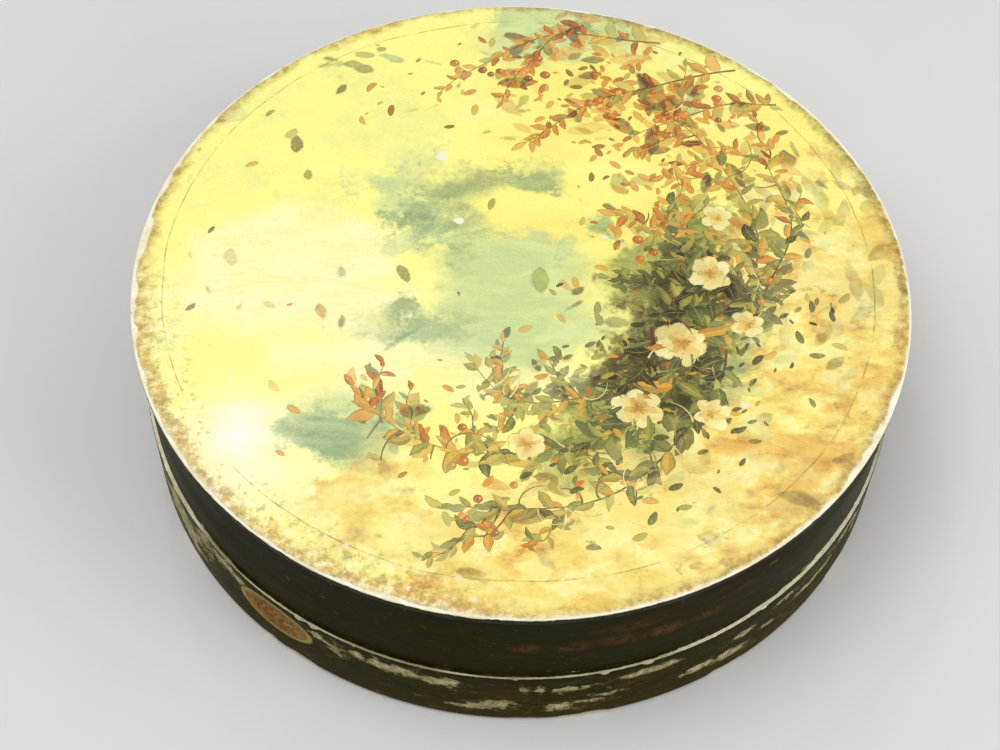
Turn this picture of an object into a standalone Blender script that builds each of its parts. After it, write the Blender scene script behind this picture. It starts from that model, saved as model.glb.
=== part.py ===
"""A shallow round lidded box of bent wood, paper lined, with a painted sheet on its lid.

Metres, +Z up. The origin is the middle of the underside. The lid lifts straight up off
the neck, so the lid's pieces hang on an empty that lies on the lifting axis.
"""

import math

import bmesh
import bpy

# Sizes of the whole box, in metres
box_radius = 0.08
base_wall_height = 0.0182
skirt_height = 0.0216

# Clearances
glue_gap = 0.0003
seat_gap = 0.0003
slide_clearance = 0.0003

# Lid
skirt_setback = 0.0008
skirt_wall = 0.0016
skirt_edge_rounding = 0.00035
lid_board_thickness = 0.0014
lid_board_rounding = 0.0005
face_sheet_thickness = 0.0004
face_sheet_setback = 0.0009
face_sheet_rounding = 0.0002

# Base
neck_wall = 0.0012
neck_rise = 0.01
neck_lead_in = 0.0005
hoop_top_rounding = 0.0003
hoop_foot_rounding = 0.0014
floor_board_thickness = 0.002

# Papers
lining_thickness = 0.0004
foot_paper_thickness = 0.0004
skirt_lining_stop = 0.001
neck_lining_stop = 0.001

# Fineness of the turned shapes
segments_round = 96
segments_corner = 4

# Tolerance for joining the two ends of a turned shape
weld_distance = 0.000001
sharp_angle = math.radians(35.0)

# Radii, from the outside in
skirt_outer = box_radius - skirt_setback
skirt_inner = skirt_outer - skirt_wall
skirt_lining_outer = skirt_inner - glue_gap
skirt_lining_inner = skirt_lining_outer - lining_thickness
neck_outer = skirt_lining_inner - slide_clearance
neck_inner = neck_outer - neck_wall
hoop_inner = neck_outer + glue_gap
floor_board_radius = hoop_inner - glue_gap
neck_lining_outer = neck_inner - glue_gap
neck_lining_inner = neck_lining_outer - lining_thickness
floor_lining_radius = neck_inner - glue_gap
lid_lining_radius = skirt_inner - glue_gap
face_sheet_radius = box_radius - face_sheet_setback

# Heights, from the underside up
floor_board_bottom = foot_paper_thickness + glue_gap
floor_board_top = floor_board_bottom + floor_board_thickness
neck_bottom = floor_board_top + glue_gap
floor_lining_top = neck_bottom + lining_thickness
neck_lining_bottom = floor_lining_top + glue_gap
neck_top = base_wall_height + neck_rise
neck_lining_top = neck_top - neck_lining_stop
skirt_bottom = base_wall_height + seat_gap
skirt_top = skirt_bottom + skirt_height
skirt_lining_bottom = skirt_bottom + skirt_lining_stop
lid_board_bottom = skirt_top + glue_gap
lid_board_top = lid_board_bottom + lid_board_thickness
lid_lining_top = lid_board_bottom - glue_gap
lid_lining_bottom = lid_lining_top - lining_thickness
skirt_lining_top = lid_lining_bottom - glue_gap
face_sheet_bottom = lid_board_top + glue_gap
face_sheet_top = face_sheet_bottom + face_sheet_thickness


def clear_scene():
    """Take away whatever the new file starts with."""
    for item in list(bpy.data.objects):
        bpy.data.objects.remove(item, do_unlink=True)


def make_material(name, colour, roughness, coat=0.0):
    """A plain finish: base colour, roughness and, for varnish, a clear coat."""
    material = bpy.data.materials.new(name)
    material.use_nodes = True
    shader = material.node_tree.nodes["Principled BSDF"]
    shader.inputs["Base Color"].default_value = (*colour, 1.0)
    shader.inputs["Roughness"].default_value = roughness
    shader.inputs["Metallic"].default_value = 0.0
    shader.inputs["Coat Weight"].default_value = coat
    return material


def face_sheet_finish():
    return make_material("painted_face", (0.72, 0.62, 0.20), 0.35, coat=0.6)


def lid_board_finish():
    return make_material("pale_edge", (0.78, 0.74, 0.56), 0.5)


def side_finish():
    return make_material("dark_side", (0.030, 0.026, 0.012), 0.4, coat=0.4)


def bare_wood_finish():
    return make_material("bare_wood", (0.52, 0.36, 0.19), 0.6)


def lining_finish():
    return make_material("lining_paper", (0.70, 0.62, 0.45), 0.85)


def foot_paper_finish():
    return make_material("foot_paper", (0.36, 0.25, 0.14), 0.9)


def quarter_round(corner_radius, corner_height, rounding, start_angle, turn=-1.0):
    """Points of a quarter circle that rounds off a profile's corner.

    The corner would be at corner_radius, corner_height. The arc starts at start_angle, as
    seen from its own centre, and turns a quarter circle clockwise, or the other way.
    """
    middle_angle = start_angle + turn * math.pi / 4.0
    centre_radius = corner_radius - math.copysign(rounding, math.cos(middle_angle))
    centre_height = corner_height - math.copysign(rounding, math.sin(middle_angle))
    points = []
    for step in range(segments_corner + 1):
        angle = start_angle + turn * math.pi / 2.0 * step / segments_corner
        points.append((centre_radius + rounding * math.cos(angle),
                       centre_height + rounding * math.sin(angle)))
    return points


def top_outer_corner(radius, height, rounding):
    """From the top face round to the outer face."""
    return quarter_round(radius, height, rounding, math.pi / 2.0)


def bottom_outer_corner(radius, height, rounding):
    """From the outer face round to the bottom face."""
    return quarter_round(radius, height, rounding, 0.0)


def turned(name, profile, material, closed_ring):
    """Turn a profile of (radius, height) points once round the vertical axis.

    A closed ring's profile is a loop clear of the axis. A disc's profile runs from the
    axis to the axis, over its top, down its side and back along its underside.
    """
    shape = bmesh.new()
    points = [shape.verts.new((radius, 0.0, height)) for radius, height in profile]
    edges = [shape.edges.new(pair) for pair in zip(points, points[1:])]
    if closed_ring:
        edges.append(shape.edges.new((points[-1], points[0])))
    bmesh.ops.spin(shape, geom=points + edges, cent=(0.0, 0.0, 0.0), axis=(0.0, 0.0, 1.0),
                   angle=math.tau, steps=segments_round, use_merge=True)
    bmesh.ops.remove_doubles(shape, verts=shape.verts, dist=weld_distance)
    bmesh.ops.recalc_face_normals(shape, faces=shape.faces)
    mesh = bpy.data.meshes.new(name)
    shape.to_mesh(mesh)
    shape.free()
    mesh.shade_smooth()
    mesh.set_sharp_from_angle(angle=sharp_angle)
    mesh.materials.append(material)
    piece = bpy.data.objects.new(name, mesh)
    bpy.context.scene.collection.objects.link(piece)
    return piece


def plain_disc(name, radius, bottom, top, material):
    """A flat round sheet or board with square edges."""
    profile = [(0.0, top), (radius, top), (radius, bottom), (0.0, bottom)]
    return turned(name, profile, material, closed_ring=False)


def plain_band(name, inner, outer, bottom, top, material):
    """A ring with square edges."""
    profile = [(inner, top), (outer, top), (outer, bottom), (inner, bottom)]
    return turned(name, profile, material, closed_ring=True)


def build_foot_paper(material):
    return plain_disc("foot_paper", floor_board_radius, 0.0, foot_paper_thickness, material)


def build_floor_board(material):
    return plain_disc("floor_board", floor_board_radius, floor_board_bottom,
                      floor_board_top, material)


def build_base_hoop(material):
    """The base's outer wall: its top edge is the ledge that the skirt stands on."""
    profile = [(hoop_inner, base_wall_height)]
    profile += top_outer_corner(box_radius, base_wall_height, hoop_top_rounding)
    profile += bottom_outer_corner(box_radius, 0.0, hoop_foot_rounding)
    profile += [(hoop_inner, 0.0)]
    return turned("base_hoop", profile, material, closed_ring=True)


def build_base_neck(material):
    """The inner ring that centres the lid. Its upper corner is eased for the lid."""
    profile = [(neck_inner, neck_top)]
    profile += top_outer_corner(neck_outer, neck_top, neck_lead_in)
    profile += [(neck_outer, neck_bottom), (neck_inner, neck_bottom)]
    return turned("base_neck", profile, material, closed_ring=True)


def build_floor_lining(material):
    return plain_disc("floor_lining", floor_lining_radius, neck_bottom,
                      floor_lining_top, material)


def build_neck_lining(material):
    return plain_band("neck_lining", neck_lining_inner, neck_lining_outer,
                      neck_lining_bottom, neck_lining_top, material)


def build_lid_skirt(material):
    """The lid's bent hoop. Its lower outer corner is worn round."""
    profile = [(skirt_inner, skirt_top), (skirt_outer, skirt_top)]
    profile += bottom_outer_corner(skirt_outer, skirt_bottom, skirt_edge_rounding)
    profile += [(skirt_inner, skirt_bottom)]
    return turned("lid_skirt", profile, material, closed_ring=True)


def build_lid_board(material):
    """The lid's board, rounded by handling along its overhanging edge."""
    profile = [(0.0, lid_board_top)]
    profile += top_outer_corner(box_radius, lid_board_top, lid_board_rounding)
    profile += bottom_outer_corner(box_radius, lid_board_bottom, lid_board_rounding)
    profile += [(0.0, lid_board_bottom)]
    return turned("lid_board", profile, material, closed_ring=False)


def build_lid_face_sheet(material):
    """The painted sheet on the board, worn back from the board's edge."""
    profile = [(0.0, face_sheet_top)]
    profile += top_outer_corner(face_sheet_radius, face_sheet_top, face_sheet_rounding)
    profile += [(face_sheet_radius, face_sheet_bottom), (0.0, face_sheet_bottom)]
    return turned("lid_face_sheet", profile, material, closed_ring=False)


def build_lid_lining(material):
    return plain_disc("lid_lining", lid_lining_radius, lid_lining_bottom,
                      lid_lining_top, material)


def build_skirt_lining(material):
    return plain_band("skirt_lining", skirt_lining_inner, skirt_lining_outer,
                      skirt_lining_bottom, skirt_lining_top, material)


def hang_on_axis(name, pieces):
    """Parent a moving group to an empty on the axis that it is lifted along."""
    axis = bpy.data.objects.new(name, None)
    bpy.context.scene.collection.objects.link(axis)
    for piece in pieces:
        piece.parent = axis
    return axis


def build_base():
    side = side_finish()
    wood = bare_wood_finish()
    lining = lining_finish()
    build_foot_paper(foot_paper_finish())
    build_floor_board(wood)
    build_base_hoop(side)
    build_base_neck(wood)
    build_floor_lining(lining)
    build_neck_lining(lining)
    return side, lining


def build_lid(side, lining):
    pieces = [
        build_lid_skirt(side),
        build_lid_board(lid_board_finish()),
        build_lid_face_sheet(face_sheet_finish()),
        build_lid_lining(lining),
        build_skirt_lining(lining),
    ]
    hang_on_axis("lid_lifting_axis", pieces)


def build_box():
    clear_scene()
    side, lining = build_base()
    build_lid(side, lining)


build_box()
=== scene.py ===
import math

import bpy
import numpy as np
from mathutils import Matrix, Vector


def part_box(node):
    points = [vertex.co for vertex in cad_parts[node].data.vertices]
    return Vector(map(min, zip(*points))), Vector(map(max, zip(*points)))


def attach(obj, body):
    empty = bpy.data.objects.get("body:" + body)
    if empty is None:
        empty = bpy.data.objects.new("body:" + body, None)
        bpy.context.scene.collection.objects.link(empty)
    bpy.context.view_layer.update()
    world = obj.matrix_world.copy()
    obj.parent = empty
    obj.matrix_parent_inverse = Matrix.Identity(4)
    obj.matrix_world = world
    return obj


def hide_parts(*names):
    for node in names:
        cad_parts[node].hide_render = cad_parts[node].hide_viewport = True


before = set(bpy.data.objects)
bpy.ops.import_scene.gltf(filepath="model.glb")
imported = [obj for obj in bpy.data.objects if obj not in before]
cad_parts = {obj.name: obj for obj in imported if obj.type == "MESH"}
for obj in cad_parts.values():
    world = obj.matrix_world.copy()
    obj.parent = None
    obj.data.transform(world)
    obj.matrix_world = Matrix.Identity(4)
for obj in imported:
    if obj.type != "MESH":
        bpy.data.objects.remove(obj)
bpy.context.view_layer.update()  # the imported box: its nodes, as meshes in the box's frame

# A shallow round painted box, dressed for looks. Lengths here are in millimetres, in the
# box's own frame: X right, Y away from the camera, Z up, the middle of the foot at zero.

millimetre = 0.001  # in metres, the unit that meshes, lamps and the camera are made in


def nodeSpan(node):
    # radius, lowest and highest level of a round node, in millimetres
    low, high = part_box(node)
    return high.x / millimetre, low.z / millimetre, high.z / millimetre


boxRadius, footLevel, ledgeLevel = nodeSpan("base_hoop")
neckOuter, _, neckTop = nodeSpan("base_neck")
skirtOuter, skirtLow, _ = nodeSpan("lid_skirt")
boardRadius, boardLow, boardTop = nodeSpan("lid_board")
sheetRadius, _, sheetTop = nodeSpan("lid_face_sheet")
lidPaperRadius, lidPaperLow, _ = nodeSpan("lid_lining")
skirtPaperOuter, skirtPaperLow, _ = nodeSpan("skirt_lining")
neckPaperOuter, _, neckPaperTop = nodeSpan("neck_lining")
_, _, floorPaperTop = nodeSpan("floor_lining")
footPaperRadius, footPaperLow, _ = nodeSpan("foot_paper")
_, floorBoardLow, floorBoardTop = nodeSpan("floor_board")
fitGap = 0.05  # between a hoop and what it stands round
glueGap = 0.3  # the solids' gap for glue, which the board and the skirt close here
print("frame loaded: box", round(boxRadius * 2, 1), "across,", round(sheetTop, 1), "tall")


# Number fields

def cellNumbers(cells, seed):
    # a repeatable number from 0 to 1 for each whole-numbered cell, mixed from its indices
    mixed = cells[0] * 1619 + cells[1] * 31337 + cells[2] * 6971 + seed * 1013
    mixed = (mixed << 13) ^ mixed
    mixed = (mixed * (mixed * mixed * 15731 + 789221) + 1376312589) & 0x7FFFFFFF
    return mixed / 0x7FFFFFFF


def cloud(points, size, octaves=4, seed=1):
    # Value noise from 0 to 1. In each octave a point blends the numbers of its cell's eight
    # corners by smooth steps; each next octave is half the size and half the strength.
    scaled = points / np.broadcast_to(size, (3,))
    total, weight = 0.0, 0.0
    for octave in range(octaves):
        place = scaled * 2.0 ** octave + 17.3 * octave
        cell = np.floor(place).astype(np.int64)
        part = place - cell
        part = part * part * (3 - 2 * part)
        value = 0.0
        for corner in range(8):
            step = [(corner >> axis) & 1 for axis in range(3)]
            share = 1.0
            for axis in range(3):
                share = share * (part[..., axis] if step[axis] else 1 - part[..., axis])
            value = value + share * cellNumbers([cell[..., axis] + step[axis] for axis in range(3)],
                                                seed + octave)
        total = total + value * 0.5 ** octave
        weight += 0.5 ** octave
    return total / weight


def smooth(value, low, high):
    # 0 below low, 1 above high, an S curve between; low above high turns it round
    part = np.clip((value - low) / (high - low), 0, 1)
    return part * part * (3 - 2 * part)


def hump(value, middle, spread):
    # a bell: 1 at the middle, falling to 0.37 one spread away
    return np.exp(-((value - middle) / spread) ** 2)


def angleGap(angle, middle):
    # shortest turn between two angles, in degrees
    return np.abs((angle - middle + 180) % 360 - 180)


def linear(red, green, blue):
    # a colour given as screen values 0 to 255, in linear light
    screen = np.array([red, green, blue]) / 255.0
    return np.where(screen <= 0.04045, screen / 12.92, ((screen + 0.055) / 1.055) ** 2.4)


# Mesh makers

def gridFaces(rows, columns, wrapRows, wrapColumns=True):
    # four-sided faces between neighbouring points of a rows by columns grid
    row, column = np.meshgrid(np.arange(rows - (not wrapRows)),
                              np.arange(columns - (not wrapColumns)), indexing="ij")
    nextRow, nextColumn = (row + 1) % rows, (column + 1) % columns
    corners = [row * columns + column, nextRow * columns + column,
               nextRow * columns + nextColumn, row * columns + nextColumn]
    return np.stack(corners, -1).reshape(-1, 4)


def fanFaces(loop, hub):
    # triangles from each step of a closed loop of points to one hub point
    return np.stack([loop, np.roll(loop, -1), np.full(len(loop), hub)], -1)


def outward(points, faceSets):
    # turns every face round where the whole body's signed volume is negative
    volume = 0.0
    for faces in faceSets:
        for second in range(1, faces.shape[1] - 1):
            first, middle, last = (points[faces[:, k]] for k in (0, second, second + 1))
            volume += np.einsum("ij,ij->", first, np.cross(middle, last))
    return faceSets if volume > 0 else [faces[:, ::-1] for faces in faceSets]


def makePiece(name, points, faceSets, material, body, slotName, stands=(), fields=None):
    # a finished mesh at the origin, riding on its body, with a number or colour per point
    points = np.asarray(points, float).reshape(-1, 3)
    mesh = bpy.data.meshes.new(name)
    faces = [face for some in outward(points, faceSets) for face in some.tolist()]
    mesh.from_pydata((points * millimetre).tolist(), [], faces)
    for label, values in (fields or {}).items():
        values = np.asarray(values, np.float32).reshape(len(points), -1)
        if values.shape[1] == 1:
            mesh.attributes.new(label, "FLOAT", "POINT").data.foreach_set("value", values.ravel())
        else:
            coloured = np.concatenate([values, np.ones((len(points), 1), np.float32)], 1)
            made = mesh.attributes.new(label, "FLOAT_COLOR", "POINT")
            made.data.foreach_set("color", coloured.ravel())
    mesh.shade_smooth()
    mesh.materials.append(material)
    piece = bpy.data.objects.new(name, mesh)
    bpy.context.scene.collection.objects.link(piece)
    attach(piece, body)
    if stands:
        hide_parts(*stands)
    print("made", name, len(faces), "faces")


def profileThrough(corners, closed=True):
    # A turned profile through corners of (radius, height, rounding, spacing of points to the
    # next corner). Each corner is cut back by its rounding along both neighbours, and a
    # quadratic curve with the corner as its middle control point joins the two cuts.
    count = len(corners)
    places = np.array([corner[:2] for corner in corners], float)
    pieces = []
    for k, (_, _, rounding, spacing) in enumerate(corners):
        here, before, after = places[k], places[k - 1], places[(k + 1) % count]
        isEnd = not closed and k in (0, count - 1)
        if rounding > 0 and not isEnd:
            start = here + (before - here) / np.linalg.norm(before - here) * rounding
            end = here + (after - here) / np.linalg.norm(after - here) * rounding
            part = np.linspace(0, 1, 7)[:, None]
            pieces.append((1 - part) ** 2 * start + 2 * part * (1 - part) * here + part ** 2 * end)
        else:
            end = here
            pieces.append(here[None])
        if k == count - 1 and not closed:
            break
        nextRounding = corners[(k + 1) % count][2]
        target = after + (end - after) / max(np.linalg.norm(end - after), 1e-9) * nextRounding
        steps = max(1, round(np.linalg.norm(target - end) / spacing))
        pieces.append(end + (target - end) * np.arange(1, steps)[:, None] / steps)
    return np.concatenate(pieces)


def turned(profile, spokes, push=None):
    # Turns a profile round the upright axis: point = (r cos, r sin, h). The profile runs with
    # the body on its right, as from a top's middle out and down. push is a function of the
    # turned points that gives how far each one moves out of the body.
    angle = np.linspace(0, 2 * math.pi, spokes, endpoint=False)
    along = np.roll(profile, -1, 0) - np.roll(profile, 1, 0)
    normal = np.stack([-along[:, 1], along[:, 0]], -1) / np.linalg.norm(along, axis=1)[:, None]
    radius = np.repeat(profile[:, :1], spokes, 1)
    height = np.repeat(profile[:, 1:], spokes, 1)

    def place(radius, height):
        # the profile's radii and heights, turned
        return np.stack([radius * np.cos(angle), radius * np.sin(angle), height], -1)

    points = place(radius, height)
    if push is not None:
        move = push(points)
        points = place(radius + normal[:, :1] * move, height + normal[:, 1:] * move)
    return points


def turnedRing(name, corners, spokes, push, fields, *rides):
    # a closed ring: the grid joins up both round the axis and round its own profile
    profile = profileThrough(corners)
    points = turned(profile, spokes, push)
    values = {label: make(points) for label, make in fields.items()}
    makePiece(name, points, [gridFaces(len(profile), spokes, wrapRows=True)], *rides, fields=values)


def turnedDisc(name, corners, spokes, push, *rides):
    # a closed disc: the first and last rows of the grid are closed by a fan to the axis
    profile = profileThrough(corners, closed=False)
    grid = turned(profile, spokes, push)
    hubs = np.array([[0, 0, grid[0, :, 2].mean()], [0, 0, grid[-1, :, 2].mean()]])
    points = np.concatenate([grid.reshape(-1, 3), hubs])
    rows = len(profile)
    first = np.arange(spokes)
    fans = [fanFaces(first, rows * spokes),
            fanFaces(first + (rows - 1) * spokes, rows * spokes + 1)[:, ::-1]]
    makePiece(name, points, [gridFaces(rows, spokes, wrapRows=False), *fans], *rides)


def raised(place, level=0.0):
    # flat places with their level as the third number
    return np.column_stack([place, np.broadcast_to(level, len(place))])


def polar(points):
    # angle in degrees and distance from the axis
    return np.degrees(np.arctan2(points[..., 1], points[..., 0])), np.hypot(points[..., 0], points[..., 1])


# Shader helpers

class Signal:
    # One output of a shader node. Sums, differences and products with it make the Math nodes,
    # in the tree that was opened last by a finish or a group.
    openTree = None

    def __init__(self, socket):
        self.socket = socket

    def __add__(self, other):
        return calc("ADD", self, other)

    def __sub__(self, other):
        return calc("SUBTRACT", self, other)

    def __rsub__(self, other):
        return calc("SUBTRACT", other, self)

    def __mul__(self, other):
        return calc("MULTIPLY", self, other)


def rgba(colour):
    # the colour as four numbers, the last one for full cover
    return (*[float(part) for part in colour], 1.0)


def plug(value, socket):
    # links a signal to the socket, or makes a number or colour the socket's constant
    if isinstance(value, Signal):
        Signal.openTree.links.new(value.socket, socket)
    else:
        socket.default_value = rgba(value) if isinstance(value, np.ndarray) else value


def addNode(kind, inputs, outputs=(0,), **settings):
    # a node with its settings made and its inputs filled; gives the outputs asked for
    made = Signal.openTree.nodes.new(kind)
    for label, value in settings.items():
        setattr(made, label, value)
    for label, value in inputs.items():
        plug(value, made.inputs[label])
    found = [Signal(made.outputs[label]) for label in outputs]
    return found[0] if len(found) == 1 else found


def calc(operation, first, second=0.0):
    # one operation on one or two values
    return addNode("ShaderNodeMath", {0: first, 1: second}, operation=operation)


def larger(first, second):
    # the larger of two values
    return calc("MAXIMUM", first, second)


def unsigned(value):
    # the value without its sign
    return calc("ABSOLUTE", value)


def laid(tone, share, colour, blend="MIX"):
    # the tone with a colour laid over it by its share
    return addNode("ShaderNodeMix", {0: share, 6: tone, 7: colour}, (2,), data_type="RGBA", blend_type=blend)


def layers(tone, *coats):
    # the tone with several coats of (share, colour) laid over it in turn
    for share, colour in coats:
        tone = laid(tone, share, colour)
    return tone


def shaded(tone, gain):
    # the tone times a colour
    return laid(tone, 1.0, gain, "MULTIPLY")


def grey(value):
    # a colour with the value in all three channels
    return addNode("ShaderNodeCombineColor", {0: value, 1: value, 2: value})


def ease(value, low, high, toLow=0.0, toHigh=1.0):
    # toLow where the value is low, toHigh where it is high, an S curve between
    return addNode("ShaderNodeMapRange", {0: value, 1: low, 2: high, 3: toLow, 4: toHigh},
                   interpolation_type="SMOOTHSTEP")


def speckle(place, scale, detail=3.0, roughness=0.55, distortion=0.0):
    # noise from 0 to 1
    return addNode("ShaderNodeTexNoise", {"Vector": place, "Scale": scale, "Detail": detail,
                                          "Roughness": roughness, "Distortion": distortion})


def swing(place, scale, amount, detail=3.0, roughness=0.55):
    # noise round zero: (noise - 0.5) times the amount
    return (speckle(place, scale, detail, roughness) - 0.5) * amount


def mosaic(place, scale=1.0):
    # a pattern of cells: the distance from the nearest cell's middle, and its own colour
    return addNode("ShaderNodeTexVoronoi", {"Vector": place, "Scale": scale, "Randomness": 1.0},
                   ("Distance", "Color"))


def stretch(place, scale, turn=0, shift=(0, 0, 0)):
    # the place scaled along X, Y and Z, turned about Z and shifted
    return addNode("ShaderNodeMapping", {"Vector": place, "Location": shift, "Rotation": (0, 0, turn),
                                         "Scale": scale})


def apart(place, *axes):
    # the place's numbers along the axes
    return addNode("ShaderNodeSeparateXYZ", {0: place}, axes)


def joined(x, y, z=0.0):
    # a place made of three numbers
    return addNode("ShaderNodeCombineXYZ", {0: x, 1: y, 2: z})


def span(operation, *places):
    # the length of one place, or the distance between two
    return addNode("ShaderNodeVectorMath", dict(enumerate(places)), ("Value",), operation=operation)


def field(label, output="Fac"):
    # what a piece's points hold under this name
    return addNode("ShaderNodeAttribute", {}, (output,), attribute_name=label)


def rampOf(value, *stops):
    # a colour ramp through stops of (share, colour)
    ramp = addNode("ShaderNodeValToRGB", {0: value})
    marks = ramp.socket.node.color_ramp.elements
    for k, (share, colour) in enumerate((stops[0], stops[-1], *stops[1:-1])):
        mark = marks[k] if k < 2 else marks.new(share)
        mark.position = share
        mark.color = rgba(colour)
    return ramp


colourLabels = ("Colour", "Paint", "Ground", "Light", "Dark", "Tone", "Pigment", "Under")


def sharedEffect(name, labels, effect):
    # A node group whose inputs have these labels; effect makes the outputs by label from
    # them. Gives a function that places the group and returns its outputs.
    def addSockets(labels, way):
        # the named sockets on the group's way in or out
        for label in labels:
            kind = "Vector" if label == "Place" else "Color" if label in colourLabels else "Float"
            tree.interface.new_socket(label, in_out=way, socket_type="NodeSocket" + kind)

    tree = bpy.data.node_groups.new(name, "ShaderNodeTree")
    Signal.openTree = tree
    addSockets(labels, "INPUT")
    entry = tree.nodes.new("NodeGroupInput")
    made = effect(*[Signal(entry.outputs[label]) for label in labels])
    addSockets(made, "OUTPUT")
    exits = tree.nodes.new("NodeGroupOutput")
    for label, value in made.items():
        plug(value, exits.inputs[label])

    def placed(*values):
        # the group as a node of the open tree
        return addNode("ShaderNodeGroup", dict(zip(labels, values)), tuple(made), node_tree=tree)

    return placed


def newFinish(name):
    # a material, and the point's place in millimetres, so that scales below are per millimetre
    material = bpy.data.materials.new(name)
    material.use_nodes = True
    Signal.openTree = material.node_tree
    return material, stretch(addNode("ShaderNodeTexCoord", {}, ("Object",)), (1000, 1000, 1000))


coatRoughness = 0.13  # of the varnish


def fill(material, colour, roughness, height=None, strength=0.4, distance=0.0002, specular=0.5, coat=0):
    # plugs the worked-out colour, roughness and height into the material's shader
    sockets = material.node_tree.nodes["Principled BSDF"].inputs
    values = {"Base Color": colour, "Roughness": roughness, "Specular IOR Level": specular}
    if height is not None:
        values["Normal"] = addNode("ShaderNodeBump", {"Height": height, "Strength": strength,
                                                      "Distance": distance})
    if coat:
        values.update({"Coat Weight": coat, "Coat Roughness": coatRoughness})
    for label, value in values.items():
        plug(value, sockets[label])
    return material


# Effects that more than one finish uses

ageing = {
    "soot": linear(98, 90, 52), "scuff": linear(116, 108, 64), "paintRim": linear(22, 17, 9),
    "paperMottle": linear(178, 150, 102), "paperFibre": linear(140, 112, 72),
    "foxing": linear(150, 98, 48), "paperFleck": linear(92, 66, 38), "woodPore": linear(70, 44, 22),
}


def brushedEffect(place, colour, grainShare, driftShare, brushShare):
    # hand-laid paint: fine grain, soft drifts of tone and the hair marks of a wide brush
    grain = speckle(place, 1.9, 6, 0.65)
    drift = speckle(place, 0.11, 4)
    hairs = speckle(stretch(place, (0.10, 1.1, 1.1), 0.35), 1.0, 4)
    gain = 1.0
    for value, share in ((grain, grainShare), (drift, driftShare), (hairs, brushShare)):
        gain = (value - 0.5) * share + gain
    return {"Colour": shaded(colour, grey(gain)), "Roughness": ease(drift, 0.3, 0.7, 0.30, 0.48),
            "Height": hairs + grain * 0.35}


def lostEffect(place, paint, ground, lost, ragged, dirt):
    # where the lost value is above zero the paint is gone and the pale ground shows; a fine
    # noise breaks the edge, and dirt has settled in the ground
    broken = lost + (speckle(place, 1.3, 7, 0.72) - 0.5) * ragged
    gone = ease(broken, -0.14, 0.20)
    rim = ease(broken, -0.55, 0.0) * (1.0 - gone)
    soot = ease(speckle(place, 0.7, 8, 0.75), 0.40, 0.62) * dirt
    sooty = laid(ground, larger(soot, ease(broken, 1.0, 0.05, 0, 0.8)), ageing["soot"])
    scuff = ease(speckle(stretch(place, (0.45, 0.45, 1.1)), 1.0, 8, 0.75), 0.47, 0.62)
    colour = layers(paint, (ease(broken, -1.1, 0.0, 0, 0.7) * scuff, ageing["scuff"]),
                    (rim * 0.12, ageing["paintRim"]), (gone, sooty))
    return {"Colour": colour, "Lost": gone, "Height": 1.0 - gone}


def paperEffect(place, colour, foxing):
    # old paper: fibres, a mottled tone, brown foxing spots and a few darker flecks
    fibres = speckle(stretch(place, (1.2, 3.4, 3.4), 0.6), 1.0, 6, 0.7)
    mottle = speckle(place, 0.07, 5)
    spot = ease(mosaic(place, 0.12)[0] + speckle(place, 1.1, 5) * 0.22, 0.30, 0.16)
    flecks = ease(speckle(place, 2.8, 2), 0.70, 0.76)
    tone = layers(colour, (ease(mottle, 0.35, 0.7, 0.0, 0.45), ageing["paperMottle"]),
                  (ease(fibres, 0.35, 0.75, 0.0, 0.22), ageing["paperFibre"]),
                  (spot * foxing, ageing["foxing"]), (flecks * 0.5, ageing["paperFleck"]))
    return {"Colour": tone, "Roughness": ease(fibres, 0.3, 0.7, 0.78, 0.92), "Height": fibres + mottle * 1.5}


def woodEffect(place, light, dark):
    # bent wood: long fine lines along the bend, which the caller stretches, and dark pores
    lines = speckle(place, 1.0, 7, 0.68, 0.6)
    pores = ease(speckle(place, 4.5, 2), 0.62, 0.74)
    wood = layers(light, (ease(lines, 0.36, 0.64), dark), (pores * 0.35, ageing["woodPore"]))
    return {"Colour": wood, "Roughness": ease(lines, 0.3, 0.7, 0.5, 0.68), "Height": lines - pores * 0.6}


brushedPaint = sharedEffect("brushedPaint", ("Place", "Colour", "Grain", "Drift", "Brush"), brushedEffect)
lostPaint = sharedEffect("lostPaint", ("Place", "Paint", "Ground", "Lost", "Ragged", "Dirt"), lostEffect)
oldPaper = sharedEffect("oldPaper", ("Place", "Colour", "Foxing"), paperEffect)
woodGrain = sharedEffect("woodGrain", ("Place", "Light", "Dark"), woodEffect)
print("shared effects ready")


# Camera, lamps and floor

cameraFacts = {
    "elevation": 54.29,  # degrees above the table
    "roll": -1.57,
    "aside": 0.056,  # where the lid's middle stands from the view's axis, in box radii
    "above": 0.262,
    "away": 4.635,
    "focalPixels": 1800, "widthPixels": 1000, "sensorWidth": 36,
    "clip": (0.01, 20),  # nearest and farthest distance seen, in metres
}


def placeCamera(facts):
    # The camera's axes are built from its elevation and turned by its roll; its place is
    # the lid's middle less the offsets along those axes.
    tilt, roll = math.radians(facts["elevation"]), math.radians(facts["roll"])
    back = Vector((0, -math.cos(tilt), math.sin(tilt)))
    level = Vector((1, 0, 0))
    upright = back.cross(level)
    right = level * math.cos(roll) - upright * math.sin(roll)
    above = level * math.sin(roll) + upright * math.cos(roll)
    middle = Vector((0, 0, sheetTop * millimetre))
    offset = right * facts["aside"] + above * facts["above"] - back * facts["away"]
    place = middle - offset * (boxRadius * millimetre)
    data = bpy.data.cameras.new("camera")
    data.sensor_width = facts["sensorWidth"]
    data.lens = data.sensor_width * facts["focalPixels"] / facts["widthPixels"]
    data.clip_start, data.clip_end = facts["clip"]
    camera = bpy.data.objects.new("camera", data)
    camera.matrix_world = Matrix((*zip(right, above, back, place), (0, 0, 0, 1)))
    bpy.context.scene.collection.objects.link(camera)
    bpy.context.scene.camera = camera


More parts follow.
